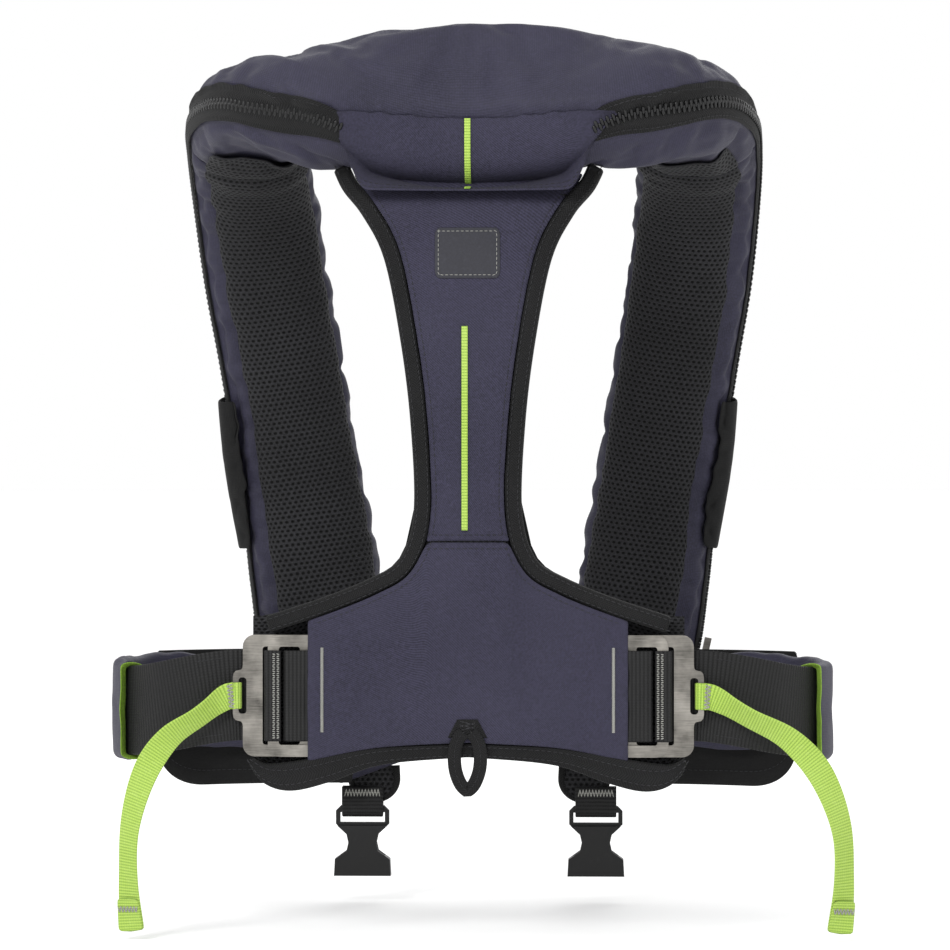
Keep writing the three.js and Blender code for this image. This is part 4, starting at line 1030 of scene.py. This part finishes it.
SLEEVE_Y = 9.4                       # depth of a sleeve
PAD_SHIFT = 3.5 + 1.2 + 0.3 + 3.0    # half the sleeve's inside, its wall, the gap and half the pad
mouth = int(np.argmax(WAIST[:, 1] > -58))
sleeve_stop = int(np.argmax((WAIST[:, 1] > 0) & (WAIST[:, 0] < 72)))
pad_start = int(np.argmax(WAIST[:, 1] > 40))
for label, side in SIDES:
    flip = np.array([side, 1, 1])
    line = spaced(WAIST[mouth:sleeve_stop], 2.6)
    path, out, walked = on_belt(line)
    ring, v = section(56.2, SLEEVE_Y, 4.2, 16)
    seed = 11 if side < 0 else 14
    rings = swept(path, Z, out, ring)
    ends = np.exp(-walked / 9) + np.exp(-(walked[-1] - walked) / 9)
    creases = rough(rings * (0.045, 0.045, 0.02), 1, seed) * 1.5 + rough(rings, 0.09, seed + 1) * 0.7
    rings = rings + unit(rings - path[:, None]) * (creases * (1 - 0.6 * ends[:, None]) - 0.4)[..., None]
    skin(f"sleeve_{label}_cloth", rings * flip, walked, v, "navy", thickness=1.1, wrap=True,
         flip=side < 0, node=f"sleeve_{label}")
    lead = np.vstack([line[0] + unit(line[0] - line[1]) * reach for reach in (4.6, 3, 1.5)] + [line[:4]])
    path, out, walked = on_belt(lead)
    ring, v = section(51.6, 6.0, 2.6, 12)
    rings = swept(path, Z, out, ring)
    flare = np.array([1, 0.75, 0.4, 0, 0, 0, 0])[:, None, None]
    rings = rings + Z * ring[None, :, :1] * 0.06 * flare + out[:, None] * ring[None, :, 1:] * 1.5 * flare
    rings = rings + unit(rings - path[:, None]) * (rough(rings, 0.08, seed + 3) * 0.8)[..., None]
    skin(f"sleeve_{label}_lining", rings * flip, walked, v, "lining", thickness=0.8, wrap=True,
         flip=side < 0, node=f"sleeve_lining_{label}")
    line = spaced(WAIST[pad_start:sleeve_stop], 2.6)
    path, out, walked = on_belt(line)
    grown = np.sqrt(1 - np.clip(1 - walked / 30, 0, 1) ** 2) * 0.55 + 0.45
    heights = np.linspace(0, 1, 19)
    bulge = (1 - np.abs(2 * heights - 1) ** 7) ** 0.45
    z_span = 29.5 - heights[None] * (29.5 + 51 * grown[:, None])
    end = np.clip(np.minimum(walked, walked[-1] - walked) / 3, 0.25, 1)[:, None]
    puff = 2.9 * bulge[None] * end
    middle = path[:, None] + Z * z_span[..., None] + out[:, None] * PAD_SHIFT
    wobble = rough(middle, 0.05, seed + 5) * 0.5
    near, far = (middle + out[:, None] * (f * (puff + wobble))[..., None] for f in (-1, 1))
    rings = np.concatenate([near, far[:, ::-1]], 1)
    v = np.concatenate([heights * 80, heights[::-1] * 80 + 200, [0]])
    pad = loft(f"waist_pad_{label}_foam", rings * flip, v, "black", levels=1,
               node=f"waist_pad_{label}")
    for surface, name in ((near, "inner"), (far, "outer")):
        row = (surface[2:-2, 16] + out[2:-2] * (-0.3 if name == "inner" else 0.3)) * flip
        stitches(f"waist_pad_stitch_{label}_{name}", row, out[2:-2] * flip, 3.2, 2.2, 0.45)

TAB_X = (126.4 + 129.5) / 2          # middle of the adjuster's bar that the pull strap turns round


def strap_path(reach):
    turn = [(TAB_X + 2.7 * cos(a), PLATE_Y + 2.7 * sin(a), BELT_Z)
            for a in np.linspace(pi / 2, 1.5 * pi, 9)]
    fall = [(0.1, -3.0, 0.01), (0.34, -4.7, 0.09), (0.62, -5.7, 0.18), (0.84, -5.7, 0.33), (0.98, -4.7, 0.55),
            (1, -3.7, 0.78), (0.97, -2.7, 1)]
    hang = [(TAB_X + (reach - TAB_X) * share, PLATE_Y + dy, BELT_Z - 130 * drop) for share, dy, drop in fall]
    hang = smooth([turn[-1], *hang], 64)[1:]
    return np.vstack([[(TAB_X + 6, PLATE_Y + 2.7, BELT_Z)], turn, hang])


for label, side, reach in (("left", -1, 187), ("right", 1, 206)):
    path = strap_path(reach) * (side, 1, 1)
    share = np.clip((np.arange(len(path)) - 10) / (len(path) - 11), 0, 1)
    along = tangents(path)
    across = np.where(np.arange(len(path))[:, None] < 10, Z, np.cross(along, -Y))
    across = unit(across) * np.where(np.einsum("ij,j->i", across, Z) < -0.2, -1, 1)[:, None]
    for k in range(1, len(across)):
        if across[k] @ across[k - 1] < 0:
            across[k] = -across[k]
    twist = side * 0.75 * np.sin(share * pi * 1.9) * np.clip(share * 5, 0, 1)
    other = np.cross(along, across)
    across = across * np.cos(twist)[:, None] + other * np.sin(twist)[:, None]
    bow = -Y * (2.5 * np.sin(share * pi * 1.3))[:, None]
    path = path + bow * (share[:, None] > 0)
    band(f"pull_strap_{label}_web", path, across, 14.6, 1.4, "lime", columns=6, levels=1,
         body=f"strap_{label}", node=f"pull_strap_{label}")
    normal = unit(np.cross(tangents(path), across))
    tail = path[-7:] - normal[-7:] * np.sign(normal[-4] @ Y) * 1.5
    band(f"pull_strap_{label}_fold", tail, across[-7:], 14.4, 1.3, "lime", columns=6, levels=1,
         body=f"strap_{label}")
    normal = normal * np.sign(-normal[:, 1:2] + 1e-9)
    for k, name in ((14, "head"), (len(path) - 5, "foot")):
        n, a = normal[k], across[k]
        place = path[k] + n * (1.0 if name == "head" else 2.5)
        zigzag(f"strap_tack_{label}_{name}", place + a * 6, place - a * 6, 3.4, n, tangents(path)[k], 12,
               body=f"strap_{label}", thick=0.7)

# ---- front of the belt
eye = rounded_path([(88, -283.5), (99.3, -283.5), (99.3, -338.5), (72.7, -338.5), (72.7, -283.5),
                    (88, -283.5)], 2.5)
band("tether_soft_loop", straight(np.insert(eye, 0, -35.5, axis=1)), X, 16.6, 1.9, "web", columns=6,
     node="tether_loop")
zigzag("tether_tack", (-41, 83, -284.2 + 1.6), (-30, 83, -284.2 + 1.6), 6, Z, Y, 10)

# ---- lobe tips and crotch webbing
TIP_X, TIP_Y, TIP_Z = 63, 106, -361
HANG_X, HANG_Z = 70, -379
for label, side in SIDES:
    bend = np.sin(np.linspace(0, pi / 2, 14)[1:])
    tip_z = np.concatenate([np.linspace(-353, TIP_Z, 5), TIP_Z - 13.3 * bend])
    drop = np.clip((TIP_Z - tip_z) / 13.4, 0, 1)
    straight_half = 12 + 1.4 * np.clip((-353 - tip_z) / 8, 0, 1)
    half = np.where(tip_z > TIP_Z - 0.5, straight_half, 13.4 * np.sqrt(1 - drop**2) + 0.5)
    across = np.linspace(-1, 1, 13)
    puff = 2.4 * (1 - np.abs(across) ** 6) ** 0.5
    xs = TIP_X + half[:, None] * across[None]
    zs = tip_z[:, None] * np.ones_like(xs)
    front = np.stack([xs, TIP_Y + puff[None] * np.ones_like(xs), zs], -1)
    rear = np.stack([xs, TIP_Y - puff[None] * np.ones_like(xs), zs], -1)
    rings = np.concatenate([rear, front[:, ::-1]], 1) * (side, 1, 1)
    v = np.concatenate([across * 13, across[::-1] * 13 + 60, [-13]])
    loft(f"lobe_tip_{label}_knit", rings, v, "mesh", u=tip_z, node=f"lobe_tip_{label}")
    arc = np.linspace(pi, 2 * pi, 26)
    rim = [(-13.2, 8)] + [(13.6 * cos(a), 12.4 * sin(a)) for a in arc] + [(13.2, 8)]
    rim = spaced(at_y([(TIP_X + x, TIP_Z + z) for x, z in rim], TIP_Y) * (side, 1, 1), 1.8)
    band(f"lobe_tip_{label}_tape", rim, np.cross(tangents(rim), Y), 4.2, 4.6, "tape", slot="spacer_mesh",
         radius=1.8, columns=4)
    turn = [(TIP_Y + 4.1 * cos(a), HANG_Z + 4.1 * sin(a)) for a in np.linspace(pi, 2 * pi, 13)]
    web = np.array([(TIP_Y - 4.1, -365.5), *turn, (TIP_Y + 4.1, -365.5)])
    web = straight(np.insert(web, 0, HANG_X * side, axis=1), 1.6)
    band(f"crotch_web_{label}_tape", web, X, 24.6, 1.6, "web", columns=10,
         node=f"crotch_web_{label}")
    for face in (-1, 1):
        ends = [(side * HANG_X + x, TIP_Y + face * 5.1, -369) for x in (-10, 10)]
        zigzag(f"crotch_tack_{label}_{face + 1}", *ends, 4.6, (0, face, 0), Z, 22, thick=0.6)

# ---- pieces that stay as the frame made them
KEPT = {
    "steel": ["adjuster_inner_left", "adjuster_inner_right", "adjuster_outer_left", "adjuster_outer_right",
              "zip_slider_left", "zip_slider_right"],
    "gas": ["gas_cylinder"],
    "plastic": ["inflator_head", "oral_tube", "whistle", "front_buckle_female", "front_buckle_male",
                "crotch_buckle_left", "crotch_buckle_right"],
    "lime": ["toggle_handle"],
}
for look, names in KEPT.items():
    for name in names:
        kept = nodes[name]
        kept.data.materials.clear()
        kept.data.materials.append(looks[look])
        width = 0.35 if look == "steel" else 0.7
        modifier(kept, "BEVEL", width=width * MM, segments=2, limit_method="ANGLE",
                 angle_limit=radians(35))
        modifier(kept, "WEIGHTED_NORMAL", keep_sharp=True)
        kept.data.polygons.foreach_set("use_smooth", [True] * len(kept.data.polygons))

# ---- floor, light and camera
floor_z = cad_box[0].z - 0.004
corners = [(60 * x, 60 * y, floor_z) for x, y in ((-1, -1), (1, -1), (1, 1), (-1, 1))]
floor = mesh_object("floor", corners, [(0, 1, 2, 3)])
WHITE = (1, 1, 1, 1)
ground = new_material("pale_floor", Roughness=0.85, Emission_Color=WHITE, Emission_Strength=0.16)
tone = mixed(speckle(surface_mm(ground)[2], 3), (0.86, 0.86, 0.86, 1), (0.9, 0.9, 0.9, 1))
set_sockets(ground, Base_Color=tone)
floor.data.materials.append(ground)

world = bpy.data.worlds.new("studio")
scene.world = world
world.use_nodes = True
background = world.node_tree.nodes["Background"].inputs
background["Color"].default_value = WHITE
background["Strength"].default_value = 1.0

centre = Vector((0, 0, -0.17))
for name, place, energy, size in (("key", (-0.9, -1.6, 0.9), 22, 0.6), ("fill", (1.3, -1.4, 0.1), 5, 1.2),
                                  ("front", (0.4, 1.8, 0.8), 9, 1.2)):
    light = bpy.data.lights.new(name, "AREA")
    light.energy = energy
    light.size = size
    lamp = scene_object(name, light)
    lamp.location = place
    lamp.rotation_euler = (centre - Vector(place)).to_track_quat("-Z", "Y").to_euler()

camera_data = bpy.data.cameras.new("camera")
camera_data.lens = 151.7
camera_data.sensor_width = 36
camera_data.shift_x = 0.0074
camera = scene_object("camera", camera_data)
TURN, DISTANCE, AIM_Y, AIM_Z = radians(1.9), 2.2, -0.097, -0.1786
camera.location = (DISTANCE * sin(TURN), AIM_Y - DISTANCE * cos(TURN), AIM_Z)
camera.rotation_euler = (pi / 2, 0, TURN)
scene.camera = camera
scene.view_settings.view_transform = "Standard"
scene.view_settings.look = "None"
